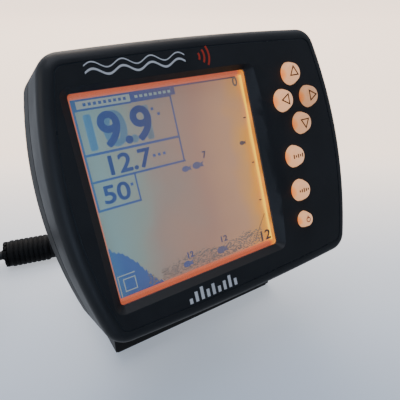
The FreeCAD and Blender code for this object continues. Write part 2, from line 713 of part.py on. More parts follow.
def foot():
    """Hollow rectangular foot with a swivel boss, four screw bosses and a cable notch."""
    half_w, half_d = FOOT_W / 2, FOOT_D / 2
    body = box((-half_w, half_w), (-half_d, half_d), (PAD_T, FOOT_H))
    body = body.makeChamfer(FOOT_EDGE_R, edges_at(body, "z", FOOT_H))
    top = FOOT_H - FOOT_WALL - 0.5
    hollow = box((-half_w + FOOT_WALL, half_w - FOOT_WALL), (-half_d + FOOT_WALL, half_d - FOOT_WALL), (PAD_T, top))
    notch_x = (NOTCH_X - 8, NOTCH_X + 8)
    hollow = hollow.cut(box((notch_x[0] - 3, notch_x[1] + 3), (25, half_d), (PAD_T, top)))
    body = body.cut([hollow, box(notch_x, (28, half_d + 1), (PAD_T, FOOT_H))])
    bosses = [rod((x, y, PAD_T), (x, y, top + 1), 6.0) for x, y in foot_screw_places()]
    bosses.append(rod((0, 0, 7.0), (0, 0, top + 1), 14.0))
    body = body.fuse(bosses)
    cuts = [rod((0, 0, 0), (0, 0, FOOT_H + 1), SWIVEL_R + FIT),
            rod((NOTCH_X, 20, GROMMET_Z), (NOTCH_X, 30, GROMMET_Z), 2.9)]
    for x, y in foot_screw_places():
        cuts.append(rod((x, y, 0), (x, y, FOOT_H + 1), FOOT_SCREW_R))
        cuts.append(turned([(0, FOOT_SCREW_R), (2.2, 4.6)], (x, y, FOOT_H - 2.2), (0, 0, 1)))
    return body.cut(cuts).removeSplitter()


def foot_pad():
    """Ribbed rubber pad under the foot."""
    half_w, half_d = FOOT_W / 2 - 0.6, FOOT_D / 2 - 0.6
    pad = box((-half_w, half_w), (-half_d, half_d), (0, PAD_T))
    pad = pad.makeFillet(1.5, [e for e in pad.Edges if e.Vertexes[0].Z != e.Vertexes[1].Z])
    cuts = [rod((x, y, -1), (x, y, PAD_T + 1), FOOT_SCREW_R + 0.3) for x, y in foot_screw_places()]
    cuts.append(box((NOTCH_X - 8, NOTCH_X + 8), (28, half_d + 1), (-1, PAD_T + 1)))
    return pad.cut(cuts)


# Leads

def pigtail_grommet():
    """Rubber strain relief where the pigtail leaves the foot."""
    profile = [(0, 3.45), (1.2, 3.45), (1.2, 2.85), (4.9, 2.85), (4.9, 5.0), (6.7, 5.0), (14.3, 2.9)]
    return turned(profile, (NOTCH_X, 23.7, GROMMET_Z), (0, 1, 0))


def inline_socket():
    """Receptacle half of the in-line connector."""
    profile = [(0, 4.6), (3, 6.4), (3, 7.6), (SOCKET_HALF_L - 2, 8.4), (SOCKET_HALF_L, 8.4)]
    return turned(profile, PLUG_START, PLUG_DIR)


def inline_plug():
    """Plug half: ribbed grip with a stepped nose round the lead."""
    profile = [(0, PLUG_R - 0.6), (1.2, PLUG_R - 0.6), (1.2, PLUG_R)]
    rib, gap = 2.1, 1.1
    a = 1.2 + rib
    while a < PLUG_L - rib:
        profile += [(a, PLUG_R), (a, PLUG_R - 0.6), (a + gap, PLUG_R - 0.6), (a + gap, PLUG_R)]
        a += rib + gap
    profile += [(PLUG_L, PLUG_R), (PLUG_L, 8.2), (PLUG_L + 1.6, 7.6), (PLUG_L + 1.6, 6.2)]
    profile += [(PLUG_L + PLUG_NOSE_L, 4.4)]
    return turned(profile, PLUG_START + PLUG_DIR * SOCKET_HALF_L, PLUG_DIR)


def lead_coil():
    """Outer shape of the put-away lead: its turns side by side in three layers."""
    x, y = COIL_CENTRE
    inner = COIL_TURN_R[0] - LEAD_D / 2
    outer = COIL_TURN_R[-1] + LEAD_D / 2
    ring = tube_ring((x, y, 0), (x, y, COIL_LAYERS * LEAD_D + 0.05), outer, inner)
    return ring.makeFillet(2.0, [e for e in ring.Edges if e.Closed])


def power_plug():
    """Flat moulded two-pole plug on the lead's far end."""
    start = Vector(*TAIL_ROUTE[-1])
    relief = turned([(0, 3.9), (9.0, 4.2)], start, (0, -1, 0))
    half_w = POWER_PLUG_W / 2
    y0 = start.y - 7
    body = box((start.x - half_w, start.x + half_w), (y0 - POWER_PLUG_L, y0), (0.1, 0.1 + POWER_PLUG_H))
    body = body.makeFillet(1.6, [e for e in body.Edges if e.Vertexes[0].Y != e.Vertexes[1].Y])
    shroud = box((start.x, start.x + half_w + 1), (y0 - POWER_PLUG_L - 1, y0 - POWER_PLUG_L + 13), (0, 10))
    body = body.cut(shroud)
    x1, x2 = start.x - 3.3, start.x + 3.3
    end = y0 - POWER_PLUG_L
    cuts = [rod((x1, end - 1, 4.4), (x1, end + 12, 4.4), 2.1), rod((x2, end + 12, 4.4), (x2, end + 16, 4.4), 1.8)]
    return body.fuse(relief).cut(cuts).removeSplitter()


def power_pins():
    """Bare pin and shrouded sleeve of the power plug."""
    start = Vector(*TAIL_ROUTE[-1])
    end = start.y - 7 - POWER_PLUG_L
    pin = rod((start.x + 3.3, end + 1, 4.4), (start.x + 3.3, end + 16, 4.4), 1.75)
    pin = pin.makeFillet(0.8, edges_at(pin, "y", end + 1))
    sleeve = tube_ring((start.x - 3.3, end + 1, 4.4), (start.x - 3.3, end + 12, 4.4), 2.05, 1.8)
    return Part.makeCompound([pin, sleeve])


# Assembly

HEAD_PIECES = {
    "front_shell": front_shell, "rear_shell": rear_shell, "case_gasket": case_gasket,
    "case_screws": case_screws, "window_lens": window_lens, "window_tape": window_tape,
    "light_rim": light_rim, "lcd_glass": lcd_glass, "light_guide": light_guide,
    "lamp_strip": lamp_strip, "display_tray": display_tray, "elastomer_strips": elastomer_strips,
    "main_board": main_board, "board_screws": board_screws, "shield_can": shield_can,
    "sonar_transformer": sonar_transformer, "capacitors": capacitors, "board_chips": board_chips,
    "buzzer": buzzer, "key_board": key_board, "key_jumper": key_jumper, "key_domes": key_domes,
    "key_mat": key_mat, "transducer_socket": transducer_socket, "socket_pins": socket_pins,
    "tilt_bracket": tilt_bracket, "bracket_screws": bracket_screws, "tilt_bolt": tilt_bolt,
    "knob_insert": knob_insert, "tilt_knob": tilt_knob, "lug_washer": lug_washer,
}
MOUNT_PIECES = {
    "stem": stem, "tilt_washers": tilt_washers, "swivel_bolt": swivel_bolt,
    "wave_washer": wave_washer, "swivel_glide": swivel_glide, "foot": foot, "foot_pad": foot_pad,
    "pigtail_grommet": pigtail_grommet, "inline_socket": inline_socket,
    "inline_plug": inline_plug, "lead_coil": lead_coil, "power_plug": power_plug,
    "power_pins": power_pins,
}
CORDS = {
    "pigtail": (PIGTAIL_ROUTE, PIGTAIL_D, [pigtail_grommet, inline_socket]),
    "lead": (LEAD_ROUTE, LEAD_D, [inline_plug]),
    "lead_tail": (TAIL_ROUTE, LEAD_D, [power_plug]),
}


def save(name, shape):
    """Writes one node and says so if a solid isn't valid."""
    if not shape.isValid() or not shape.Solids:
        print("NOT VALID", name)
    shape.exportStep(os.path.join("parts", name + ".step"))


def main():
    os.makedirs("parts", exist_ok=True)
    for name, make in HEAD_PIECES.items():
        save(name, in_head(make()))
    for name, x, z, radius in KEYS:
        save(name, in_head(key(x, z, radius)))
    for name, make in MOUNT_PIECES.items():
        save(name, make())
    for name, (route, diameter, fittings) in CORDS.items():
        save(name, route_tube(name, route, diameter).cut([fitting() for fitting in fittings]))


main()
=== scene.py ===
"""Fish finder on a tilt and swivel foot: cords, display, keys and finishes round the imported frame."""

import json
import math
import random

import bmesh
import bpy
from mathutils import Matrix, Vector

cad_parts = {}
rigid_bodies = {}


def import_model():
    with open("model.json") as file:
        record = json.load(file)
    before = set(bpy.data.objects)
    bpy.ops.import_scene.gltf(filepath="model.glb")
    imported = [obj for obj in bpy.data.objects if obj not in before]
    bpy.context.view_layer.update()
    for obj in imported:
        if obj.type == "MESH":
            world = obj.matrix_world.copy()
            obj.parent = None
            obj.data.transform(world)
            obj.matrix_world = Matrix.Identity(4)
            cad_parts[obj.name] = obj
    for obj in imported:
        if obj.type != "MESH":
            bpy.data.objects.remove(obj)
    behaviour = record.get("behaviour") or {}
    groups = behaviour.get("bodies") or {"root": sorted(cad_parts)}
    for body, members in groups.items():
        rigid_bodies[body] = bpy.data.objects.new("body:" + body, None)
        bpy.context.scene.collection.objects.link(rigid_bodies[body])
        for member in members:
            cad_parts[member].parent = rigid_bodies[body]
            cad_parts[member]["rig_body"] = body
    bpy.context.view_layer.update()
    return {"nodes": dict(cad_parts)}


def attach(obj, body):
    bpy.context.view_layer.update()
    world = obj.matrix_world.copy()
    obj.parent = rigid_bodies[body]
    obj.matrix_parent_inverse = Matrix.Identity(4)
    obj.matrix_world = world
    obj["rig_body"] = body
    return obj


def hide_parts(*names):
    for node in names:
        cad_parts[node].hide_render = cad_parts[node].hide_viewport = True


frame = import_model()

bl_info = {
    "name": "Fish Finder",
    "version": (1, 0, 0),
    "blender": (4, 5, 0),
    "location": "View3D > Sidebar > Fish Finder",
    "description": "Builds the cords, display, keys and finishes of a fish finder",
    "category": "Object",
}

MM = 0.001
TILT_BACK = math.radians(23.4)
PIVOT = Vector((0, 0, 70)) * MM
HEAD = Matrix.Translation(PIVOT) @ Matrix.Rotation(-TILT_BACK, 4, "X")
TO_HEAD = HEAD.inverted()

# Routes of the cords, in millimetres, as their solids run
PIGTAIL_ROUTE = [(-24, 38, 7), (-24, 49.4, 6.4), (-28.9, 59.8, 6.3), (-37.9, 67.0, 7.6), (-49.4, 69.7, 9.4)]
LEAD_ROUTE = [(-92.3, 79.6, 9.4), (-106.9, 83.0, 8.2), (-119.5, 85.4, 4.0), (-133.5, 88.9, 3.2)]
TAIL_ROUTE = [(-199.4, 36.0, 15.7), (-199.8, 21.5, 12.6), (-198.6, 7.0, 7.2), (-197.8, -7.5, 4.8),
              (-198.4, -21.0, 4.4)]
COIL_CENTRE = (-156.6, 50.5)
COIL_RADII = (30.0, 36.3, 42.6)
COIL_START = 77
COIL_END = 180
COIL_TURNS = 7
LAYER_TURNS = 3
LEAD_CENTRE_Z = 3.2
LEAD_PITCH = 6.3
POINTS_PER_TURN = 16
# Openings of the light frame: left, right, bottom, top, in the head's frame
RIM_FRONT = (-58.4, 22.9, -29.3, 53.2)
RIM_BACK = (-57.8, 24.0, -28.9, 52.6)
FRONT_Y = -68.0
GROOVE_FLOOR_Y = -67.6
PLUG_START = Vector((-49.4, 69.7, 9.4)) * MM
PLUG_DIR = Vector((-math.cos(math.radians(13)), math.sin(math.radians(13)), 0))
# Distances along the plug from its start, in millimetres
GRIP_AT = 12
COLLAR_AT = 40.2
COLLAR_LUGS = 14
# Lower left corner of the display's figures, in the head's frame
DISPLAY_LEFT = -57.8
DISPLAY_BOTTOM = -27.4
CAMERA_LENS = 36.76
CAMERA_PLACE = Vector((-97.4, -191.8, 186.3)) * MM
CAMERA_AIM = Vector((0.4616, 0.7373, -0.4933))
FLOOR_REACH = 40.0
# Linear colour of the lamps' line on the film; over one, because it is a lamp and not a tone
LAMP_LINE = (4.2, 2.3, 0.0, 1.0)

# Moulded and printed finishes: dark tone, light tone, roughness, then in millimetres the grain, its
# depth and the patches, and last the specular level
FINISHES = {
    # ABS with a fine tool texture: satin, with a soft broad sheen
    "moulded_abs_rear": ("#151618", "#1c1e20", 0.52, 0.5, 0.04, 18.0, 0.25),
    # ABS of the groove's floor, glossier as from a polished part of the tool; its colour is painted lighter
    # and bluer than the case, a painted highlight for the thin line of light along the groove
    "groove_painted_highlight": ("#1c2329", "#2a323a", 0.3, 0.45, 0.01),
    # Nylon with glass fibre: near black, with a coarser grain than the ABS
    "glass_filled_nylon": ("#070808", "#0e0f10", 0.5, 0.6, 0.05, 16.0, 0.36),
    # Moulded rubber: dull, nearly without highlights
    "moulded_rubber": ("#070708", "#0f0f10", 0.62, 0.5, 0.04, 8.0, 0.3),
    "moulded_grip_rubber": ("#040405", "#0a0a0b", 0.6, 0.5, 0.04, 7.0, 0.22),
    # Silicone filled with carbon: flat grey
    "conductive_silicone": ("#5c5c5f", "#707073", 0.7, 0.5, 0.03),
    # Machined acetal and moulded styrene: white, one waxy and one matt
    "machined_acetal": ("#dcdcd6", "#ecece8", 0.4, 0.4, 0.01),
    "white_styrene": ("#d2d2cc", "#dededa", 0.5, 0.5, 0.02),
    # Epoxy resin round the chips and sintered ferrite: fine dark grit
    "moulding_resin": ("#101011", "#1c1c1e", 0.6, 0.25, 0.02),
    "sintered_ferrite": ("#232122", "#38332f", 0.65, 0.3, 0.03),
    # Shrunk PVC sleeve and polyimide film: smooth and glossy
    "shrink_sleeve": ("#141d3c", "#1c2a58", 0.3, 1.0, 0.01),
    "polyimide_film": ("#b4732a", "#c98a3c", 0.3, 1.5, 0.01),
    # Cast acrylic with a milky filler: bright and smooth
    "milky_acrylic": ("#e6dccb", "#f1eadc", 0.25, 2.0, 0.005),
    # Pad printed inks: even, with a dull edge
    "white_pad_print": ("#b9bcc0", "#cfd2d6", 0.5, 0.6, 0.01),
    "red_pad_print": ("#a02414", "#b83420", 0.5, 0.6, 0.01),
    "key_ink": ("#4c2a14", "#5a331a", 0.5, 0.5, 0.01, 14.0, 0.2),
    "key_ink_red": ("#8c2f1c", "#9a3a22", 0.5, 0.5, 0.01),
}


def linear(code):
    """sRGB hex to linear RGBA."""
    parts = [int(code[i:i + 2], 16) / 255 for i in (1, 3, 5)]
    return (*[c / 12.92 if c <= 0.04045 else ((c + 0.055) / 1.055) ** 2.4 for c in parts], 1.0)


def add_node(tree, kind, inputs=None, stops=(), **settings):
    """Adds a node with its inputs set or linked; stops are a ramp's positions and hex colours."""
    made = tree.nodes.new(kind)
    for key, value in settings.items():
        setattr(made, key, value)
    for key, value in (inputs or {}).items():
        if isinstance(value, bpy.types.NodeSocket):
            tree.links.new(value, made.inputs[key])
        else:
            made.inputs[key].default_value = value
    if stops:
        line = made.color_ramp.elements
        while len(line) < len(stops):
            line.new(0.5)
        for element, (position, code) in zip(line, stops):
            element.position = position
            element.color = linear(code)
    return made


# Sizes and colours that a user would change

class FinderSizes(bpy.types.PropertyGroup):
    """Sizes of the pieces that are added to the frame."""

    pigtail_d: bpy.props.FloatProperty(
        name="Pigtail", description="Diameter of the pigtail's jacket",
        default=0.0045, min=0.002, max=0.01, unit="LENGTH")
    lead_d: bpy.props.FloatProperty(
        name="Lead", description="Diameter of the lead's jacket",
        default=0.0063, min=0.003, max=0.01, unit="LENGTH")
    figure_t: bpy.props.FloatProperty(
        name="Figure height", description="How far the display's figures stand off its glass",
        default=0.00005, min=0.00001, max=0.0005, unit="LENGTH")
    rib_pitch: bpy.props.FloatProperty(
        name="Rib pitch", description="Distance between the grip ribs of the in-line plug",
        default=0.0032, min=0.001, max=0.01, unit="LENGTH")


class FinderColours(bpy.types.PropertyGroup):
    """Colours of the main finishes."""

    case: bpy.props.FloatVectorProperty(
        name="Case", description="Moulded ABS of the case", subtype="COLOR", size=4,
        default=linear("#191b1e"), min=0, max=1)
    jacket: bpy.props.FloatVectorProperty(
        name="Jacket", description="PVC of the leads", subtype="COLOR", size=4,
        default=linear("#0b0b0c"), min=0, max=1)
    key: bpy.props.FloatVectorProperty(
        name="Keys", description="Silicone of the keys", subtype="COLOR", size=4,
        default=linear("#f0c8a6"), min=0, max=1)


# Materials

def principled(name):
    """A new material: its node tree, its shader and its Object coordinates."""
    made = bpy.data.materials.new(name)
    made.use_nodes = True
    tree = made.node_tree
    shader = tree.nodes["Principled BSDF"]
    place = add_node(tree, "ShaderNodeTexCoord").outputs["Object"]
    return made, tree, shader, place


def moulded(name, base, light, roughness, grain_mm, depth_mm, patch_mm=14.0, shine=0.5):
    """Moulded plastic or rubber: tool grain as bump, and faint patches in colour and gloss."""
    made, tree, shader, place = principled(name)
    patches = add_node(tree, "ShaderNodeTexNoise", {
        "Vector": place, "Scale": 1 / (patch_mm * MM), "Detail": 5.0, "Roughness": 0.62})
    tone = add_node(tree, "ShaderNodeMix", {
        "Factor": patches.outputs["Fac"], "A": base, "B": light}, data_type="RGBA")
    tree.links.new(tone.outputs["Result"], shader.inputs["Base Color"])
    gloss = add_node(tree, "ShaderNodeMapRange", {
        "Value": patches.outputs["Fac"], "From Min": 0.3, "From Max": 0.7,
        "To Min": roughness - 0.06, "To Max": roughness + 0.06})
    tree.links.new(gloss.outputs["Result"], shader.inputs["Roughness"])
    grain = add_node(tree, "ShaderNodeTexNoise", {
        "Vector": place, "Scale": 1 / (grain_mm * MM), "Detail": 2.0})
    bump = add_node(tree, "ShaderNodeBump", {
        "Height": grain.outputs["Fac"], "Strength": 0.6, "Distance": depth_mm * MM})
    tree.links.new(bump.outputs["Normal"], shader.inputs["Normal"])
    shader.inputs["IOR"].default_value = 1.5
    shader.inputs["Specular IOR Level"].default_value = shine
    return made


def finish(name):
    """Material from the list of moulded and printed finishes."""
    dark, light, *rest = FINISHES[name]
    return moulded(name, linear(dark), linear(light), *rest)


def metal(name, colour, roughness, brush_mm, stretch):
    """Turned or rolled metal with fine lines along one axis."""
    made, tree, shader, place = principled(name)
    drawn = add_node(tree, "ShaderNodeMapping", {"Vector": place, "Scale": stretch})
    lines = add_node(tree, "ShaderNodeTexNoise", {
        "Vector": drawn.outputs["Vector"], "Scale": 1 / (brush_mm * MM), "Detail": 3.0})
    gloss = add_node(tree, "ShaderNodeMapRange", {
        "Value": lines.outputs["Fac"], "To Min": roughness - 0.08, "To Max": roughness + 0.12})
    tree.links.new(gloss.outputs["Result"], shader.inputs["Roughness"])
    bump = add_node(tree, "ShaderNodeBump", {
        "Height": lines.outputs["Fac"], "Strength": 0.3, "Distance": 0.01 * MM})
    tree.links.new(bump.outputs["Normal"], shader.inputs["Normal"])
    shader.inputs["Base Color"].default_value = colour
    shader.inputs["Metallic"].default_value = 1.0
    return made


def head_place(tree, place):
    """Object coordinates turned upright into the head's own frame."""
    shifted = add_node(tree, "ShaderNodeVectorMath", {0: place, 1: PIVOT}, operation="SUBTRACT")
    return add_node(tree, "ShaderNodeVectorRotate", {
        "Vector": shifted.outputs[0], "Angle": TILT_BACK, "Axis": (1, 0, 0)},
        rotation_type="AXIS_ANGLE").outputs["Vector"]


def head_share(tree, place, axis, low, high, first=0.0, last=1.0):
    """Value that runs from first to last between low and high, in metres, on an axis of the head."""
    upright = add_node(tree, "ShaderNodeSeparateXYZ", {"Vector": head_place(tree, place)})
    return add_node(tree, "ShaderNodeMapRange", {
        "Value": upright.outputs[axis], "From Min": low, "From Max": high,
        "To Min": first, "To Max": last}).outputs[0]


def lcd_cell():
    """Reflective liquid-crystal cell: grey-green film, warm towards the lamps at its right edge."""
    made, tree, shader, place = principled("lcd_polariser_film")
    low, high = head_box("lcd_glass")
    upright = head_place(tree, place)
    across = head_share(tree, place, "X", RIM_BACK[0] * MM, RIM_BACK[1] * MM)
    rise = head_share(tree, place, "Z", low.z, high.z, 0.02, -0.10)
    cloud = add_node(tree, "ShaderNodeTexNoise", {
        "Vector": upright, "Scale": 1 / (26 * MM), "Detail": 2.0})
    drift = add_node(tree, "ShaderNodeMapRange", {
        "Value": cloud.outputs["Fac"], "From Min": 0.3, "From Max": 0.7, "To Min": -0.07, "To Max": 0.07})
    level = add_node(tree, "ShaderNodeMath", {0: across, 1: rise}, operation="ADD")
    shade = add_node(tree, "ShaderNodeMath", {0: level.outputs[0], 1: drift.outputs[0]}, operation="ADD",
                     use_clamp=True)
    film = add_node(tree, "ShaderNodeValToRGB", {"Fac": shade.outputs[0]}, [
        (0.0, "#84a3a0"), (0.14, "#8f9c90"), (0.32, "#a28b7a"), (0.55, "#b68970"), (0.8, "#cf9a72"),
        (0.9, "#e8a658"), (0.95, "#ffae34"), (1.0, "#ffc430")]).outputs["Color"]
    # Dot pitch is 0.33 mm; drawn at 0.66 mm, because the true one is too fine to show
    dots = add_node(tree, "ShaderNodeTexVoronoi", {
        "Vector": upright, "Scale": 1 / (0.66 * MM), "Randomness": 0.0})
    dim = add_node(tree, "ShaderNodeMapRange", {
        "Value": dots.outputs["Distance"], "From Min": 0.3, "From Max": 0.6, "To Min": 1.0, "To Max": 0.94})
    lit = add_node(tree, "ShaderNodeVectorMath", {0: film, "Scale": dim.outputs[0]}, operation="SCALE")
    # The lamps' line at the right edge is wider in some stretches than in others
    patches = add_node(tree, "ShaderNodeTexNoise", {
        "Vector": upright, "Scale": 1 / (14 * MM), "Detail": 1.0})
    edge = add_node(tree, "ShaderNodeMapRange", {
        "Value": patches.outputs["Fac"], "From Min": 0.35, "From Max": 0.6,
        "To Min": 0.984, "To Max": 0.972})
    near = add_node(tree, "ShaderNodeMapRange", {
        "Value": across, "From Min": edge.outputs[0], "From Max": 0.993})
    lamp_line = add_node(tree, "ShaderNodeMix", {
        "Factor": near.outputs[0], "A": lit.outputs[0], "B": LAMP_LINE}, data_type="RGBA")
    film_body = add_node(tree, "ShaderNodeMix", {
        "Factor": near.outputs[0], "A": lit.outputs[0], "B": linear("#2a1a04")}, data_type="RGBA")
    tree.links.new(film_body.outputs["Result"], shader.inputs["Base Color"])
    tree.links.new(lamp_line.outputs["Result"], shader.inputs["Emission Color"])
    shader.inputs["Emission Strength"].default_value = 0.46
    shader.inputs["Roughness"].default_value = 0.55
    return made


def display_ink(name, right_mm, strength, stops):
    """Darkened liquid crystal whose tone runs from the display's left edge to right_mm."""
    made, tree, shader, place = principled(name)
    across = head_share(tree, place, "X", RIM_BACK[0] * MM, right_mm * MM)
    ink = add_node(tree, "ShaderNodeValToRGB", {"Fac": across}, stops).outputs["Color"]
    tree.links.new(ink, shader.inputs["Base Color"])
    tree.links.new(ink, shader.inputs["Emission Color"])
    shader.inputs["Emission Strength"].default_value = strength
    shader.inputs["Roughness"].default_value = 0.6
    return made


def display_tone(name, base, glow, strength):
    """Part of the display in one tone."""
    made, tree, shader, _ = principled(name)
    shader.inputs["Base Color"].default_value = linear(base)
    shader.inputs["Emission Color"].default_value = linear(glow)
    shader.inputs["Emission Strength"].default_value = strength
    shader.inputs["Roughness"].default_value = 0.6
    return made


def lit_rim():
    """Milky acrylic light frame: salmon where the light is weak, orange below, yellow beside the lamps."""
    made, tree, shader, place = principled("edge_lit_acrylic")
    low, high = head_box("light_rim")
    across = head_share(tree, place, "X", low.x, high.x)
    lift = head_share(tree, place, "Z", low.z, high.z)
    weak = add_node(tree, "ShaderNodeValToRGB", {"Fac": lift}, [
        (0.0, "#e05620"), (0.05, "#d46438"), (0.1, "#cc7a5c"), (0.5, "#d0826c"), (0.93, "#d0704e"),
        (1.0, "#e65a22")]).outputs["Color"]
    lamps = add_node(tree, "ShaderNodeValToRGB", {"Fac": across}, [
        (0.0, "#ff7a00"), (0.95, "#ff7a00"), (0.965, "#ff9200"), (1.0, "#ffa000")]).outputs["Color"]
    streaks = add_node(tree, "ShaderNodeTexNoise", {"Vector": place, "Scale": 1 / (11 * MM), "Detail": 2.0})
    level = add_node(tree, "ShaderNodeMapRange", {
        "Value": streaks.outputs["Fac"], "From Min": 0.4, "From Max": 0.65, "To Min": 1.4, "To Max": 2.2})
    hot = add_node(tree, "ShaderNodeVectorMath", {0: lamps, "Scale": level.outputs[0]}, operation="SCALE")
    beside = add_node(tree, "ShaderNodeMapRange", {
        "Value": across, "From Min": 0.938, "From Max": 0.952})
    glow = add_node(tree, "ShaderNodeMix", {
        "Factor": beside.outputs[0], "A": weak, "B": hot.outputs[0]}, data_type="RGBA")
    body = add_node(tree, "ShaderNodeMix", {
        "Factor": beside.outputs[0], "A": weak, "B": linear("#3a1c04")}, data_type="RGBA")
    tree.links.new(glow.outputs["Result"], shader.inputs["Emission Color"])
    tree.links.new(body.outputs["Result"], shader.inputs["Base Color"])
    shader.inputs["Emission Strength"].default_value = 0.62
    shader.inputs["Roughness"].default_value = 0.35
    return made


def lit_silicone(colour, strength):
    """Translucent silicone lit from behind: orange low on its left flank, pale on the cap."""
    made, tree, shader, place = principled("lit_silicone_%03d" % (strength * 100))
    uv = add_node(tree, "ShaderNodeUVMap", uv_map="key_place").outputs["UV"]
    spot = add_node(tree, "ShaderNodeSeparateXYZ", {"Vector": uv})
    side = add_node(tree, "ShaderNodeValToRGB", {"Fac": spot.outputs["X"]}, [
        (0.0, "#ff7a18"), (0.06, "#ff9640"), (0.11, "#f2a872"), (0.85, "#e8ac80"), (0.97, "#d8925e"),
        (1.0, "#a8602c")]).outputs["Color"]
    milk = add_node(tree, "ShaderNodeTexNoise", {"Vector": place, "Scale": 1 / (3 * MM), "Detail": 2.0})
    mixed = add_node(tree, "ShaderNodeMix", {"Factor": milk.outputs["Fac"], "A": side, "B": colour},
                     data_type="RGBA")
    soft = add_node(tree, "ShaderNodeMix", {"Factor": 0.25, "A": side, "B": mixed.outputs["Result"]},
                    data_type="RGBA")
    dull = add_node(tree, "ShaderNodeVectorMath", {0: soft.outputs["Result"], "Scale": 0.35},
                    operation="SCALE")
    tree.links.new(dull.outputs[0], shader.inputs["Base Color"])
    tree.links.new(soft.outputs["Result"], shader.inputs["Emission Color"])
    shader.inputs["Emission Strength"].default_value = strength
    shader.inputs["Roughness"].default_value = 0.5
    shader.inputs["Subsurface Weight"].default_value = 0.25
    shader.inputs["Subsurface Radius"].default_value = (1.0, 0.5, 0.25)
    shader.inputs["Subsurface Scale"].default_value = 1.5 * MM
    grain = add_node(tree, "ShaderNodeTexNoise", {"Vector": place, "Scale": 1 / (0.5 * MM)})
    bump = add_node(tree, "ShaderNodeBump", {
        "Height": grain.outputs["Fac"], "Strength": 0.2, "Distance": 0.02 * MM})
    tree.links.new(bump.outputs["Normal"], shader.inputs["Normal"])
    return made


def clear_acrylic():
    """Hard-coated acrylic window: almost clear, with a weak gloss and faint wipe marks."""
    made, tree, shader, place = principled("hard_coated_acrylic")
    wipes = add_node(tree, "ShaderNodeMapping", {"Vector": place, "Scale": (1.0, 1.0, 0.2)})
    marks = add_node(tree, "ShaderNodeTexNoise", {
        "Vector": wipes.outputs["Vector"], "Scale": 1 / (6 * MM), "Detail": 6.0})
    gloss = add_node(tree, "ShaderNodeMapRange", {
        "Value": marks.outputs["Fac"], "To Min": 0.05, "To Max": 0.3})
    tree.links.new(gloss.outputs["Result"], shader.inputs["Roughness"])
    shader.inputs["Base Color"].default_value = linear("#c8ccd0")
    shader.inputs["Alpha"].default_value = 0.06
    shader.inputs["IOR"].default_value = 1.49
    return made


def circuit_board():
    """Green solder mask over glass epoxy with copper tracks under it."""
    made, tree, shader, place = principled("solder_mask")
    tracks = add_node(tree, "ShaderNodeTexBrick", {
        "Vector": place, "Scale": 1 / (4 * MM), "Color1": linear("#0f5a32"), "Color2": linear("#126a3c"),
        "Mortar": linear("#0a3f22"), "Mortar Size": 0.08})
    tree.links.new(tracks.outputs["Color"], shader.inputs["Base Color"])
    bump = add_node(tree, "ShaderNodeBump", {
        "Height": tracks.outputs["Fac"], "Strength": 0.3, "Distance": 0.03 * MM})
    tree.links.new(bump.outputs["Normal"], shader.inputs["Normal"])
    shader.inputs["Roughness"].default_value = 0.35
    return made


def pvc_jacket(colour):
    """Extruded PVC: semi-matt, with faint scuffs and dust."""
    return moulded("extruded_pvc", colour, linear("#161618"), 0.45, 0.5, 0.02, 9.0)


# Mesh helpers

def head_box(name):
    """Lowest and highest corner of a CAD node in the head's upright frame."""
    corners = [TO_HEAD @ v.co for v in frame["nodes"][name].data.vertices]
    return (Vector([min(c[i] for c in corners) for i in range(3)]),
            Vector([max(c[i] for c in corners) for i in range(3)]))


def to_object(name, bm):
    """Makes the bmesh an object at the origin."""
    mesh = bpy.data.meshes.new(name)
    bm.to_mesh(mesh)
    bm.free()
    obj = bpy.data.objects.new(name, mesh)
    bpy.context.collection.objects.link(obj)
    return obj


def piece(name, bm, body, material, smooth=None, tilted=False):
    """Makes the bmesh a finished object that rides on a body; tilted ones are drawn upright."""
    if tilted:
        bm.transform(HEAD)
    obj = to_object(name, bm)
    obj.data.materials.append(material)
    if smooth is not None:
        obj.data.shade_smooth()
        obj.data.set_sharp_from_angle(angle=math.radians(smooth))
    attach(obj, body)
    return obj


def lathe(bm, profile, start, direction, steps=64):
    """Fills an empty bmesh with (distance, radius) points, in mm, spun about a line from start."""
    turn = Vector((0, 0, 1)).rotation_difference(Vector(direction)).to_matrix().to_4x4()
    to_place = Matrix.Translation(start) @ turn
    verts = [bm.verts.new(Vector((r * MM, 0, a * MM))) for a, r in profile]
    edges = [bm.edges.new(pair) for pair in zip(verts, verts[1:])]
    bmesh.ops.spin(bm, geom=verts + edges, cent=(0, 0, 0), axis=(0, 0, 1), angle=2 * math.pi,
                   steps=steps, use_merge=True)
    bmesh.ops.remove_doubles(bm, verts=bm.verts, dist=1e-7)
    bmesh.ops.transform(bm, matrix=to_place, verts=bm.verts)
    bmesh.ops.recalc_face_normals(bm, faces=bm.faces)


def block(bm, x, y, z, bevel=0.0, segments=2):
    """Bevelled block between low and high values, in millimetres."""
    size = Vector((x[1] - x[0], y[1] - y[0], z[1] - z[0]))
    centre = Vector((x[0] + x[1], y[0] + y[1], z[0] + z[1])) / 2
    place = Matrix.Translation(centre * MM) @ Matrix.Diagonal((*size * MM, 1))
    made = bmesh.ops.create_cube(bm, size=1.0, matrix=place)
    verts = made["verts"]
    if bevel:
        edges = {e for v in verts for e in v.link_edges}
        bmesh.ops.bevel(bm, geom=list(edges), offset=bevel * MM, segments=segments, profile=0.5,
                        affect="EDGES", material=-1)
    return verts


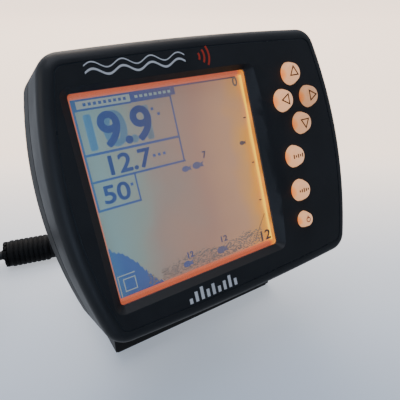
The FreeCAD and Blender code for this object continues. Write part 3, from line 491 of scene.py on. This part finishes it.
def eased(node, name, bevel_mm, groove=None):
    """Merged copy of a CAD node with its sharp edges rounded, standing for the node."""
    source = frame["nodes"][node]
    bm = bmesh.new()
    bm.from_mesh(source.data)
    bmesh.ops.remove_doubles(bm, verts=bm.verts, dist=2e-6)
    bmesh.ops.dissolve_limit(bm, angle_limit=math.radians(0.5), verts=bm.verts, edges=bm.edges)
    obj = to_object(name, bm)
    mesh = obj.data
    if groove:
        obj.data.materials.append(source.data.materials[0])
        obj.data.materials.append(groove)
        # The groove's floor takes the second material, whose lighter bluish colour is a painted highlight
        for face in mesh.polygons:
            level = abs((TO_HEAD @ face.center).y - GROOVE_FLOOR_Y * MM) < 0.06 * MM
            if level and (TO_HEAD.to_3x3() @ face.normal).y < -0.98:
                face.material_index = 1
    rounding = obj.modifiers.new("rounding", "BEVEL")
    rounding.width = bevel_mm * MM
    rounding.segments = 2
    rounding.limit_method = "ANGLE"
    rounding.angle_limit = math.radians(35)
    rounding.harden_normals = True
    mesh.shade_smooth()
    mesh.set_sharp_from_angle(angle=math.radians(32))
    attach(obj, source["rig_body"])
    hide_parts(node)
    return obj


# Operators, one for each piece or group of like pieces

def aimed(name, data, place, direction):
    """Camera or lamp at a place, looking along a direction."""
    obj = bpy.data.objects.new(name, data)
    obj.location = place
    obj.rotation_mode = "QUATERNION"
    obj.rotation_quaternion = direction.to_track_quat("-Z", "Y")
    bpy.context.collection.objects.link(obj)
    return obj


class FINDER_OT_camera(bpy.types.Operator):
    """Add the camera."""

    bl_idname = "finder.camera"
    bl_label = "Camera"

    def execute(self, context):
        data = bpy.data.cameras.new("camera")
        data.sensor_width = 36.0
        data.lens = CAMERA_LENS
        data.clip_start = 0.01
        context.scene.camera = aimed("camera", data, CAMERA_PLACE, CAMERA_AIM)
        return {"FINISHED"}


def cord_curve(name, route, diameter, material):
    """NURBS cord through the route's control points, in millimetres."""
    data = bpy.data.curves.new(name, "CURVE")
    data.dimensions = "3D"
    data.bevel_depth = diameter / 2
    data.bevel_resolution = 5
    data.resolution_u = 8
    data.use_fill_caps = True
    line = data.splines.new("NURBS")
    line.points.add(len(route) - 1)
    for point, place in zip(line.points, route):
        point.co = (*Vector(place) * MM, 1.0)
    line.order_u = 3
    line.use_endpoint_u = True
    obj = bpy.data.objects.new(name, data)
    bpy.context.collection.objects.link(obj)
    data.materials.append(material)
    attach(obj, "foot")
    return obj


def coil_points():
    """Turns of the put-away lead: inwards on the floor, outwards above, then round the top."""
    x, y = COIL_CENTRE
    inner, outer = COIL_RADII[0], COIL_RADII[-1]
    steps = len(COIL_RADII) - 1
    total = COIL_TURNS * 360 + (COIL_END - COIL_START)
    count = round(total / 360 * POINTS_PER_TURN)
    points = []
    for i in range(1, count + 1):
        angle = COIL_START + total * i / count
        turns = (angle - COIL_START) / 360
        if turns <= LAYER_TURNS:
            radius = outer - (outer - inner) * step_share(turns, steps)
        elif turns <= 2 * LAYER_TURNS:
            radius = inner + (outer - inner) * step_share(turns - LAYER_TURNS, steps)
        else:
            radius = outer
        # The cord climbs one diameter within a fifth of a turn, at the end of each layer
        climbs = [min(1.0, max(0.0, (turns - layer * LAYER_TURNS + 0.1) / 0.2)) for layer in (1, 2)]
        z = LEAD_CENTRE_Z + LEAD_PITCH * sum(climbs)
        a = math.radians(angle)
        points.append((x + radius * math.cos(a), y + radius * math.sin(a), z))
    return points


def step_share(turns, steps):
    """Share of the way across a layer: level for most of a turn, then a quick step to the next."""
    whole = int(turns)
    part = turns - whole
    part = max(0.0, (part - 0.8) / 0.2)
    return min(1.0, (whole + part) / steps)


class FINDER_OT_cords(bpy.types.Operator):
    """Add the pigtail and the lead with its put-away coil."""

    bl_idname = "finder.cords"
    bl_label = "Cords"

    def execute(self, context):
        sizes = context.scene.finder_sizes
        jacket = pvc_jacket(context.scene.finder_colours.jacket)
        pigtail = cord_curve("pigtail_cord", PIGTAIL_ROUTE, sizes.pigtail_d, jacket)
        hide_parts("pigtail")
        lead = cord_curve("lead_cord", LEAD_ROUTE + coil_points() + TAIL_ROUTE, sizes.lead_d, jacket)
        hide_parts("lead", "lead_coil", "lead_tail")
        return {"FINISHED"}


class FINDER_OT_stage(bpy.types.Operator):
    """Add the pale floor with its painted light, the studio lights and the world."""

    bl_idname = "finder.stage"
    bl_label = "Stage"

    def execute(self, context):
        bm = bmesh.new()
        bmesh.ops.create_grid(bm, x_segments=1, y_segments=1, size=FLOOR_REACH)
        floor = to_object("floor", bm)
        made, tree, shader, place = principled("floor_with_painted_light")
        # Painted light on the floor: its tint and glow are painted cool and dim in front, a painted shade,
        # and warm and bright towards the back, a painted pool of the back lamps' light
        reach = add_node(tree, "ShaderNodeVectorMath", {0: place, 1: (0.53, 0.85, 0)},
                         operation="DOT_PRODUCT")
        away = add_node(tree, "ShaderNodeMapRange", {
            "Value": reach.outputs["Value"], "From Min": -0.6, "From Max": 1.6})
        tone = add_node(tree, "ShaderNodeValToRGB", {"Fac": away.outputs[0]}, [
            (0.0, "#b4c3d6"), (0.218, "#b4c3d6"), (0.281, "#d0d4da"), (0.375, "#f5dfca"),
            (1.0, "#fbdfc8")]).outputs["Color"]
        tree.links.new(tone, shader.inputs["Base Color"])
        tree.links.new(tone, shader.inputs["Emission Color"])
        # Painted light: the glow's strength runs from painted shade in front to painted light at the back
        lift = add_node(tree, "ShaderNodeValToRGB", {"Fac": away.outputs[0]}, [
            (0.0, "#202020"), (0.16, "#2a2a2a"), (0.21, "#585858"), (0.236, "#767676"),
            (0.281, "#9a9a9a"), (0.36, "#e2e2e2"), (1.0, "#ffffff")]).outputs["Color"]
        glow = add_node(tree, "ShaderNodeMath", {0: lift, 1: 2.5}, operation="MULTIPLY")
        tree.links.new(glow.outputs[0], shader.inputs["Emission Strength"])
        shader.inputs["Roughness"].default_value = 0.75
        floor.data.materials.append(made)
        # Its own glow would otherwise turn the dark case grey
        floor.visible_glossy = False
        # Name, place, size in metres, watts and tint
        lamps = [
            ("back_softbox", (0.35, 1.0, 1.25), 1.3, 15.0, "#fff0e2"),
            ("left_window", (-1.2, 0.1, 0.6), 0.7, 1.9, "#f6f0ea"),
            ("top_softbox", (-0.2, -0.2, 1.6), 1.2, 8.0, "#eef2ff"),
            ("front_left_fill", (-0.95, -1.35, 0.35), 0.9, 5.0, "#cfe2ff"),
        ]
        for name, place, size, watts, tint in lamps:
            data = bpy.data.lights.new(name, "AREA")
            data.size = size
            data.energy = watts
            data.color = linear(tint)[:3]
            aimed(name, data, place, Vector((0, 0, 0.08)) - Vector(place))
        world = bpy.data.worlds.new("studio")
        world.use_nodes = True
        tree = world.node_tree
        side = add_node(tree, "ShaderNodeSeparateXYZ", {
            "Vector": add_node(tree, "ShaderNodeTexCoord").outputs["Generated"]})
        sky = add_node(tree, "ShaderNodeMapRange", {
            "Value": side.outputs["Y"], "From Min": -1.0, "From Max": 1.0, "To Min": 0.12, "To Max": 0.9})
        wall = tree.nodes["Background"]
        wall.inputs["Color"].default_value = linear("#dfe6f2")
        tree.links.new(sky.outputs[0], wall.inputs["Strength"])
        context.scene.world = world
        return {"FINISHED"}


class FINDER_OT_finishes(bpy.types.Operator):
    """Give every carried-over frame node its finish."""

    bl_idname = "finder.finishes"
    bl_label = "Finishes"

    def execute(self, context):
        colours = context.scene.finder_colours
        case = moulded("moulded_abs", colours.case, linear("#24272b"), 0.42, 0.6, 0.07, 22.0, 0.3)
        # Cold-formed steel, rolled tin plate and turned brass: bright, with faint streaks
        steel = metal("stainless_steel", linear("#c6c7c9"), 0.28, 0.2, (1, 1, 0.1))
        tin = metal("rolled_tin_plate", linear("#d2d3d6"), 0.3, 0.3, (0.1, 1, 1))
        brass = metal("turned_brass", linear("#d8b26a"), 0.25, 0.2, (1, 0.1, 1))
        # Groove floor of the face: lighter and bluer than the case, a painted highlight
        groove = finish("groove_painted_highlight")
        nylon = finish("glass_filled_nylon")
        rubber = finish("moulded_rubber")
        acetal = finish("machined_acetal")
        resin = finish("moulding_resin")
        acrylic = finish("milky_acrylic")
        board = circuit_board()
        finishes = {
            "front_shell": case, "rear_shell": finish("moulded_abs_rear"), "case_gasket": rubber,
            "case_screws": steel, "window_lens": clear_acrylic(), "window_tape": nylon,
            "light_rim": acrylic, "lcd_glass": lcd_cell(), "light_guide": acrylic, "lamp_strip": board,
            "display_tray": finish("white_styrene"), "elastomer_strips": finish("conductive_silicone"),
            "main_board": board, "board_screws": steel, "shield_can": tin,
            "sonar_transformer": finish("sintered_ferrite"), "capacitors": finish("shrink_sleeve"),
            "board_chips": resin, "buzzer": resin, "key_board": board,
            "key_jumper": finish("polyimide_film"), "key_domes": steel, "key_mat": acetal,
            "transducer_socket": nylon, "socket_pins": brass, "tilt_bracket": nylon,
            "bracket_screws": steel, "tilt_bolt": steel, "knob_insert": brass, "tilt_knob": nylon,
            "lug_washer": steel, "stem": nylon, "tilt_washers": acetal, "swivel_bolt": steel,
            "wave_washer": steel, "swivel_glide": acetal, "foot": nylon, "foot_pad": rubber,
            "pigtail_grommet": rubber, "inline_socket": rubber, "inline_plug": rubber,
            "power_plug": rubber, "power_pins": brass,
        }
        for node, material in finishes.items():
            obj = frame["nodes"][node]
            obj.data.materials.clear()
            obj.data.materials.append(material)
        for node, name, width, material, slot in [
                ("foot", "foot_body", 0.5, nylon, "mount_plastic"),
                ("stem", "stem_body", 0.5, nylon, "mount_plastic"),
                ("tilt_bracket", "tilt_bracket_body", 0.5, nylon, "mount_plastic"),
                ("front_shell", "front_shell_body", 0.25, case, "case_plastic"),
                ("tilt_knob", "tilt_knob_body", 0.3, nylon, "mount_plastic")]:
            obj = eased(node, name, width, groove if node == "front_shell" else None)
            if node != "front_shell":
                obj.data.materials.append(material)
        return {"FINISHED"}


# How strongly each key is lit from behind
KEY_GLOW = {"key_up": 1.15, "key_right": 0.72, "key_left": 1.2, "key_down": 0.9, "key_enter": 1.2,
            "key_setup": 1.15, "key_power": 1.15}


def key_outline(bm, centre, top_y, corners, radius, turn, width):
    """Thin raised outline of a regular shape on a key's face."""
    made = bmesh.ops.create_circle(bm, cap_ends=True, segments=corners, radius=radius * MM)
    face = made["verts"][0].link_faces[0]
    bmesh.ops.rotate(bm, verts=made["verts"], cent=(0, 0, 0), matrix=Matrix.Rotation(turn, 3, "Z"))
    ring = bmesh.ops.inset_region(bm, faces=[face], thickness=width * MM, use_boundary=True,
                                  use_even_offset=True)["faces"]
    bmesh.ops.delete(bm, geom=[face], context="FACES_ONLY")
    wall = bmesh.ops.extrude_face_region(bm, geom=ring)
    raised = [v for v in wall["geom"] if isinstance(v, bmesh.types.BMVert)]
    bmesh.ops.translate(bm, verts=raised, vec=(0, 0, 0.12 * MM))
    verts = list({v for f in ring for v in f.verts} | set(raised))
    place = Matrix.Translation(Vector((centre.x, top_y, centre.z))) @ Matrix.Rotation(math.pi / 2, 4, "X")
    bmesh.ops.transform(bm, matrix=place, verts=verts)


class FINDER_OT_keys(bpy.types.Operator):
    """Add the lit silicone keys with their raised symbols."""

    bl_idname = "finder.keys"
    bl_label = "Keys"

    def execute(self, context):
        tint = context.scene.finder_colours.key
        ink = finish("key_ink")
        red_ink = finish("key_ink_red")
        for name in KEY_GLOW:
            low, high = head_box(name)
            centre = (low + high) / 2
            flange = (high.x - low.x) / 2
            base = flange / MM - 1.3
            front = low.y / MM
            top = base * 0.8
            bm = bmesh.new()
            profile = [(0, 0.0), (0.03, top * 0.5), (0.1, top * 0.8), (0.25, top * 0.94), (0.6, top * 1.03),
                       (1.2, top * 1.09), (3.0, base), (4.8, base), (4.9, base), (4.95, flange / MM),
                       (5.6, flange / MM), (5.65, 2.0), (7.0, 2.0), (7.0, 0.0)]
            length = (high.y - low.y) / MM
            profile = [(min(a, length), r) for a, r in profile]
            start = Vector((centre.x, low.y, centre.z))
            lathe(bm, profile, start, (0, 1, 0), 72)
            layer = bm.loops.layers.uv.new("key_place")
            for face in bm.faces:
                for loop in face.loops:
                    spot = (loop.vert.co - centre) / (2 * base * MM)
                    loop[layer].uv = (spot.x + 0.5, spot.z + 0.5)
            cap = piece(name + "_cap", bm, name, lit_silicone(tint, KEY_GLOW[name]), 40,
                        tilted=True)
            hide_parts(name)
            face_y = low.y + 0.02 * MM
            bm = bmesh.new()
            turns = {"key_up": 0, "key_right": 270, "key_left": 90, "key_down": 180}
            if name in turns:
                key_outline(bm, centre, face_y, 3, 3.3, math.radians(turns[name]), 0.55)
            elif name == "key_power":
                key_outline(bm, centre, face_y, 24, 1.35, 0.0, 0.4)
                block(bm, (centre.x / MM - 0.25, centre.x / MM + 0.25), (front - 0.1, front + 0.2),
                      (centre.z / MM + 0.5, centre.z / MM + 2.0), 0.05, 1)
            else:
                heights = (1.0, 0.6, 1.0, 0.6, 1.0) if name == "key_enter" else (0.5, 0.8, 1.1, 0.8, 0.5)
                z = centre.z / MM
                for i, tall in enumerate(heights):
                    x = centre.x / MM + (i - 2) * 1.35
                    block(bm, (x - 0.32, x + 0.32), (front - 0.1, front + 0.2), (z - tall, z + tall),
                          0.05, 1)
            piece(name + "_symbol", bm, name, red_ink if name == "key_power" else ink,
                  30, tilted=True)
        return {"FINISHED"}


class FINDER_OT_light_rim(bpy.types.Operator):
    """Add the edge-lit frame round the display, with its opening flared towards the eye."""

    bl_idname = "finder.light_rim"
    bl_label = "Light rim"

    def execute(self, context):
        low, high = head_box("light_rim")
        bm = bmesh.new()
        block(bm, (low.x / MM, high.x / MM), (low.y / MM, high.y / MM), (low.z / MM, high.z / MM))
        bm.faces.ensure_lookup_table()
        ends = [min(bm.faces, key=lambda f: f.calc_center_median().y),
                max(bm.faces, key=lambda f: f.calc_center_median().y)]
        openings = [(RIM_FRONT, ends[0]), (RIM_BACK, ends[1])]
        loops = []
        for (x0, x1, z0, z1), face in openings:
            bmesh.ops.inset_individual(bm, faces=[face], thickness=5 * MM)
            middle = face.calc_center_median()
            for v in face.verts:
                v.co.x = (x1 if v.co.x > middle.x else x0) * MM
                v.co.z = (z1 if v.co.z > middle.z else z0) * MM
            loops += list(face.edges)
        bmesh.ops.delete(bm, geom=ends, context="FACES_ONLY")
        bmesh.ops.bridge_loops(bm, edges=loops)
        bmesh.ops.recalc_face_normals(bm, faces=bm.faces)
        bmesh.ops.bevel(bm, geom=loops, offset=0.25 * MM, segments=2, profile=0.5, affect="EDGES",
                        material=-1)
        rim = piece("light_rim_frame", bm, "head", lit_rim(), 40, tilted=True)
        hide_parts("light_rim")
        return {"FINISHED"}


# Display: x and z in millimetres from its lower left corner, y of its glass, t the figures' thickness

# Lines of the read-outs and their tabs: x0, x1, z0, z1
READOUT_LINES = [
    (0, 78.4, 79.3, 80.0), (0, 1.9, 75.4, 79.6), (1.9, 24.4, 75.5, 76.3), (24.4, 45.4, 76.2, 79.3),
    (0, 0.9, 35.4, 76), (0, 42.9, 57.7, 58.7), (0, 43.4, 46.9, 47.8), (0, 19.0, 35.3, 36.2),
    (42.3, 43.1, 47.0, 76.2), (18.4, 19.1, 35.3, 47.2), (24.4, 43.1, 75.7, 76.3)]
# Lower left corners of the squares that stand for units
UNIT_MARKS = [(32.4, 71.2), (34.9, 68.8), (28.6, 52.0), (31.0, 52.0), (33.4, 52.0), (15.9, 42.6)]
SCALE_MARKS = (60.3, 38.4, 19.5)
# Centre and size of each fish
FISH = [(42.4, 43.6, 3.6), (48.3, 43.9, 4.4), (75.0, 48.8, 2.8), (33.0, 2.0, 3.8), (51.6, 2.5, 4.6)]
# Edge of the sea bed where it falls away from the left
BED_SLOPE = [(0, 20.4), (2.2, 17.9), (4.6, 16.6), (7.2, 14.2), (10.0, 11.3), (12.4, 7.6), (14.4, 4.6),
             (17.0, 1.4), (20.4, -1.7)]
# Outline of the square on the sea bed and of its corner
BED_SQUARE = [(2.8, 8.3, 0.2, 0.6), (2.8, 8.3, 5.4, 5.8), (2.8, 3.2, 0.2, 5.8), (7.9, 8.3, 0.2, 5.8),
              (0.7, 8.6, 7.2, 7.6), (0.7, 1.1, -1.5, 7.6)]
# Ways in which a figure's copies are shifted to thicken its strokes
SHIFTS = [(-1, 0), (1, 0), (0, -1), (0, 1), (-0.7, -0.7), (0.7, 0.7), (-0.7, 0.7), (0.7, -0.7)]


def bar(bm, x0, x1, z0, z1, y, t):
    """Flat bar of the display."""
    block(bm, (DISPLAY_LEFT + x0, DISPLAY_LEFT + x1), (y - t, y),
          (DISPLAY_BOTTOM + z0, DISPLAY_BOTTOM + z1))


def figures(bm, text, left, bottom, height, width, y, t, weight=0.0):
    """Numerals as thin solids in a box whose lower left corner is given; weight thickens the strokes."""
    data = bpy.data.curves.new("numerals", "FONT")
    data.body = text
    data.extrude = 0.5
    obj = bpy.data.objects.new("numerals", data)
    bpy.context.collection.objects.link(obj)
    mesh = bpy.data.meshes.new_from_object(obj)
    xs = [v.co.x for v in mesh.vertices]
    zs = [v.co.y for v in mesh.vertices]
    scale_x = (width - 2 * weight) / (max(xs) - min(xs))
    scale_z = (height - 2 * weight) / (max(zs) - min(zs))
    for across, up in SHIFTS:
        first = len(bm.verts)
        bm.from_mesh(mesh)
        bm.verts.ensure_lookup_table()
        for v in bm.verts[first:]:
            x = DISPLAY_LEFT + left + weight * (1 + across) + (v.co.x - min(xs)) * scale_x
            z = DISPLAY_BOTTOM + bottom + weight * (1 + up) + (v.co.y - min(zs)) * scale_z
            v.co = Vector((x, y - t * (0.5 + v.co.z), z)) * MM
        if not weight:
            break
    bpy.data.objects.remove(obj)
    bpy.data.curves.remove(data)
    bpy.data.meshes.remove(mesh)


def outline_plate(bm, points, y, t):
    """Thin plate of the display with the given outline."""
    verts = [bm.verts.new(Vector((DISPLAY_LEFT + x, y, DISPLAY_BOTTOM + z)) * MM) for x, z in points]
    face = bm.faces.new(verts)
    wall = bmesh.ops.extrude_face_region(bm, geom=[face])
    moved = [v for v in wall["geom"] if isinstance(v, bmesh.types.BMVert)]
    bmesh.ops.translate(bm, verts=moved, vec=(0, -t * MM, 0))


def fish_outline(x, z, size):
    """Simple fish: an oval body with a forked tail to its right."""
    body = [(x + size * 0.5 * math.cos(a), z + size * 0.36 * math.sin(a))
            for a in [math.radians(d) for d in range(25, 336, 20)]]
    tail = [(x + size * 0.85, z - size * 0.28), (x + size * 0.68, z), (x + size * 0.85, z + size * 0.28)]
    return body + tail


def sea_bed(bm, y, t):
    """Dark wedge of the sea bed, with a ragged edge, and the trace that climbs at the right."""
    ragged = []
    for (x0, z0), (x1, z1) in zip(BED_SLOPE, BED_SLOPE[1:]):
        for k in range(3):
            s = k / 3
            spike = 0.9 if len(ragged) % 2 else -0.9
            ragged.append((x0 + (x1 - x0) * s, z0 + (z1 - z0) * s + spike * random.uniform(0.3, 1.2)))
    outline = [(-0.5, -1.7), (-0.5, 20.6)] + ragged + [BED_SLOPE[-1]]
    outline_plate(bm, outline[::-1], y, t)
    for i in range(22):
        bar(bm, 71.8 + i * 0.38, 72.15 + i * 0.38, 1.2 + i * 0.5, 1.7 + i * 0.5, y, t)


def bed_speckle(bm, y, t):
    """Scattered dots of the softer ground."""
    for i in range(1050):
        x = random.uniform(13.5, 76)
        crest = 4.4 + x * 0.012 + 0.9 * math.sin(x * 0.21)
        z = random.uniform(-1.5, crest) + random.gauss(0, 0.5)
        if -1.4 < z < 20 - x * 1.1 or x > 20 and z > -1.4:
            w = random.choice((0.35, 0.7, 0.7, 1.05))
            bar(bm, x, x + w, z, z + 0.3, y, t)


class FINDER_OT_display(bpy.types.Operator):
    """Add the figures, boxes, depth trace and fish of the display."""

    bl_idname = "finder.display"
    bl_label = "Display"

    def execute(self, context):
        t = context.scene.finder_sizes.figure_t / MM
        glass_low, _ = head_box("lcd_glass")
        y = glass_low.y / MM - 0.01
        random.seed(7)
        # Blue at the left, violet-grey to the right and brown beside the lamps
        ink = display_ink("lcd_dark_segments", RIM_BACK[1], 0.30, [
            (0.0, "#4480b6"), (0.06, "#4067a6"), (0.3, "#52619a"), (0.55, "#6f6a88"), (0.85, "#7c6c6e"),
            (1.0, "#5a3a22")])
        # Slow crystal that still clears from the reading before: a pale blue ghost
        fading = display_ink("lcd_fading_segments", RIM_BACK[0] + 40, 0.35, [
            (0.0, "#5f9fc0"), (0.35, "#6b93ac"), (0.8, "#8c9298"), (1.0, "#948f8c")])
        # Sparse dots, brown-grey in the lamps' light
        speckle = display_tone("lcd_speckle_dots", "#7c7068", "#897c70", 0.34)
        # Undarkened film, a little lighter than the cell
        paper = display_tone("lcd_light_field", "#9fb0aa", "#9fb0aa", 0.38)
        bm = bmesh.new()
        for line in READOUT_LINES:
            bar(bm, *line, y, t)
        # Text, lower left corner, height, width, thickness and weight of the strokes
        for text, left, bottom, height, width, thick, weight in [
                ("9.9", 8.3, 59.5, 14.7, 23.4, t * 3, 0.55), ("12.7", 9.0, 48.5, 8.2, 18.8, t * 3, 0.26),
                ("50", 3.7, 37.6, 7.6, 11.6, t * 3, 0.24), ("12", 75.4, -1.0, 5.0, 6.0, t * 2, 0.14),
                ("7", 52.2, 46.2, 3.2, 2.0, t * 2, 0.1), ("12", 34.0, 4.2, 2.9, 3.2, t * 2, 0.1),
                ("12", 52.6, 5.8, 2.9, 3.6, t * 2, 0.1)]:
            figures(bm, text, left, bottom, height, width, y, thick, weight)
        for x, z in UNIT_MARKS:
            bar(bm, x, x + 1.2, z, z + 1.2, y, t * 2)
        for z in SCALE_MARKS:
            bar(bm, 78.6, 80.0, z - 0.3, z + 0.3, y, t * 2)
        for fish in FISH:
            outline_plate(bm, fish_outline(*fish), y, t * 2)
        sea_bed(bm, y, t)
        piece("display_figures", bm, "head", ink, tilted=True)
        bm = bmesh.new()
        figures(bm, "0", 76.2, 75.4, 4.4, 2.8, y, t * 2, 0.12)
        bed_speckle(bm, y, t)
        piece("display_speckle", bm, "head", speckle, tilted=True)
        bm = bmesh.new()
        bar(bm, 1.9, 24.4, 76.3, 79.3, y, t)
        for i in range(8):
            bar(bm, 26.5 + i * 2.2, 27.8 + i * 2.2, 77.3, 78.4, y, t * 3)
        for line in BED_SQUARE:
            bar(bm, *line, y, t * 3)
        piece("display_light_fields", bm, "head", paper, tilted=True)
        bm = bmesh.new()
        figures(bm, "10.1", 3.4, 59.4, 14.8, 28.0, y, t * 1.5, 0.6)
        piece("display_faded_figures", bm, "head", fading, tilted=True)
        bm = bmesh.new()
        for i in range(9):
            bar(bm, 4.6 + i * 2.1, 5.8 + i * 2.1, 77.2, 78.4, y - t, t)
        piece("display_tab_marks", bm, "head", ink, tilted=True)
        return {"FINISHED"}


def printed(name, bm, material):
    """Lays flat faces, drawn in x and y, on the front face of the case as a thin print."""
    wall = bmesh.ops.extrude_face_region(bm, geom=list(bm.faces))
    raised = [v for v in wall["geom"] if isinstance(v, bmesh.types.BMVert)]
    bmesh.ops.translate(bm, verts=raised, vec=(0, 0, 0.06))
    upright = Matrix.Rotation(math.pi / 2, 4, "X") @ Matrix.Scale(MM, 4)
    bmesh.ops.transform(bm, verts=bm.verts, matrix=Matrix.Translation((0, FRONT_Y * MM, 0)) @ upright)
    bmesh.ops.recalc_face_normals(bm, faces=bm.faces)
    return piece(name, bm, "head", material, tilted=True)


class FINDER_OT_face_marks(bpy.types.Operator):
    """Print plain wave and echo marks on the front face."""

    bl_idname = "finder.face_marks"
    bl_label = "Face marks"

    def execute(self, context):
        white = finish("white_pad_print")
        red = finish("red_pad_print")
        bm = bmesh.new()
        for line, wide in ((0.0, 0.85), (2.6, 0.5)):
            made = bmesh.ops.create_grid(bm, x_segments=96, y_segments=1, size=0.5)
            for v in made["verts"]:
                along = v.co.x + 0.5
                v.co.y = 60.6 + line + v.co.y * wide + 1.25 * math.sin(along * 7 * math.pi)
                v.co.x = -51.5 + along * 43
        printed("wave_mark", bm, white)
        bm = bmesh.new()
        start = math.radians(-32)
        for radius in (2.2, 4.6, 7.0):
            inner = bm.verts.new((radius * math.cos(start), radius * math.sin(start), 0))
            outer = bm.verts.new(inner.co * (1 + 0.9 / radius))
            edge = bm.edges.new((inner, outer))
            bmesh.ops.spin(bm, geom=[inner, outer, edge], cent=(0, 0, 0), axis=(0, 0, 1),
                           angle=math.radians(64), steps=10)
        bmesh.ops.translate(bm, verts=bm.verts, vec=(-4.0, 61.8, 0))
        printed("echo_mark", bm, red)
        bm = bmesh.new()
        for i, tall in enumerate((2.4, 4.6, 5.8, 3.6, 5.0, 2.8, 4.2, 5.6, 3.2)):
            made = bmesh.ops.create_grid(bm, x_segments=1, y_segments=1, size=0.5)
            bmesh.ops.scale(bm, verts=made["verts"], vec=(1.5, tall, 1))
            bmesh.ops.translate(bm, verts=made["verts"], vec=(-30.4 + i * 2.95, -40.4 + tall / 2, 0))
        printed("echo_bars_mark", bm, white)
        return {"FINISHED"}


class FINDER_OT_inline_plug(bpy.types.Operator):
    """Add the in-line plug's ribbed grip and slotted nose."""

    bl_idname = "finder.inline_plug"
    bl_label = "In-line plug"

    def execute(self, context):
        pitch = context.scene.finder_sizes.rib_pitch / MM
        rubber = finish("moulded_grip_rubber")
        radius = 9.35
        profile = [(0, 0.0), (0, 7.6), (0.3, 8.4), (1.0, 8.7)]
        a = 1.2
        while a < 26.0:
            profile += [(a, 8.85), (a + 0.2, 9.25), (a + 0.5, radius), (a + pitch * 0.62, radius),
                        (a + pitch * 0.76, 9.2), (a + pitch * 0.86, 8.85)]
            a += pitch
        # Plain end of the grip, then a thinner nose and the neck round the lead
        profile += [(a, 8.85), (a + 0.2, 8.9), (27.7, 8.9), (27.9, 8.3), (28.2, 7.9), (29.6, 7.8),
                    (29.9, 7.5), (30.0, 7.0), (30.0, 3.9), (32.2, 3.5), (32.2, 0.0)]
        bm = bmesh.new()
        start = PLUG_START + PLUG_DIR * GRIP_AT * MM
        lathe(bm, profile, start, PLUG_DIR, 96)
        grip = piece("inline_plug_grip", bm, "foot", rubber, 35)
        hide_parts("inline_plug")
        bm = bmesh.new()
        across = PLUG_DIR.cross(Vector((0, 0, 1))).normalized()
        basis = Matrix((across, Vector((0, 0, 1)), PLUG_DIR)).transposed().to_4x4()
        base = PLUG_START + PLUG_DIR * COLLAR_AT * MM
        block(bm, (-1.35, 1.35), (6.6, 8.9), (0.0, 2.2), 0.3, 2)
        bmesh.ops.transform(bm, verts=bm.verts, matrix=Matrix.Translation(base) @ basis)
        copies = COLLAR_LUGS - 1
        bmesh.ops.spin(bm, geom=list(bm.verts) + list(bm.edges) + list(bm.faces), cent=base, axis=PLUG_DIR,
                       angle=2 * math.pi * copies / COLLAR_LUGS, steps=copies, use_duplicate=True)
        piece("inline_plug_collar", bm, "foot", rubber, 35)
        return {"FINISHED"}


class FINDER_PT_panel(bpy.types.Panel):
    """Lists the sizes, the colours and the steps."""

    bl_label = "Fish Finder"
    bl_idname = "FINDER_PT_panel"
    bl_space_type = "VIEW_3D"
    bl_region_type = "UI"
    bl_category = "Fish Finder"

    def draw(self, context):
        for group in (context.scene.finder_sizes, context.scene.finder_colours):
            box = self.layout.box()
            for key in group.bl_rna.properties.keys():
                if key not in ("rna_type", "name"):
                    box.prop(group, key)
        for operator in OPERATORS:
            self.layout.operator(operator.bl_idname)


OPERATORS = [
    FINDER_OT_camera, FINDER_OT_cords, FINDER_OT_stage, FINDER_OT_finishes, FINDER_OT_keys,
    FINDER_OT_light_rim, FINDER_OT_display, FINDER_OT_face_marks, FINDER_OT_inline_plug,
]
CLASSES = [FinderSizes, FinderColours, *OPERATORS, FINDER_PT_panel]


def register():
    for cls in CLASSES:
        bpy.utils.register_class(cls)
    bpy.types.Scene.finder_sizes = bpy.props.PointerProperty(type=FinderSizes)
    bpy.types.Scene.finder_colours = bpy.props.PointerProperty(type=FinderColours)


def unregister():
    del bpy.types.Scene.finder_colours
    del bpy.types.Scene.finder_sizes
    for cls in reversed(CLASSES):
        bpy.utils.unregister_class(cls)


def main():
    register()
    for operator in OPERATORS:
        group, name = operator.bl_idname.split(".")
        getattr(getattr(bpy.ops, group), name)()


if __name__ == "__main__":
    main()
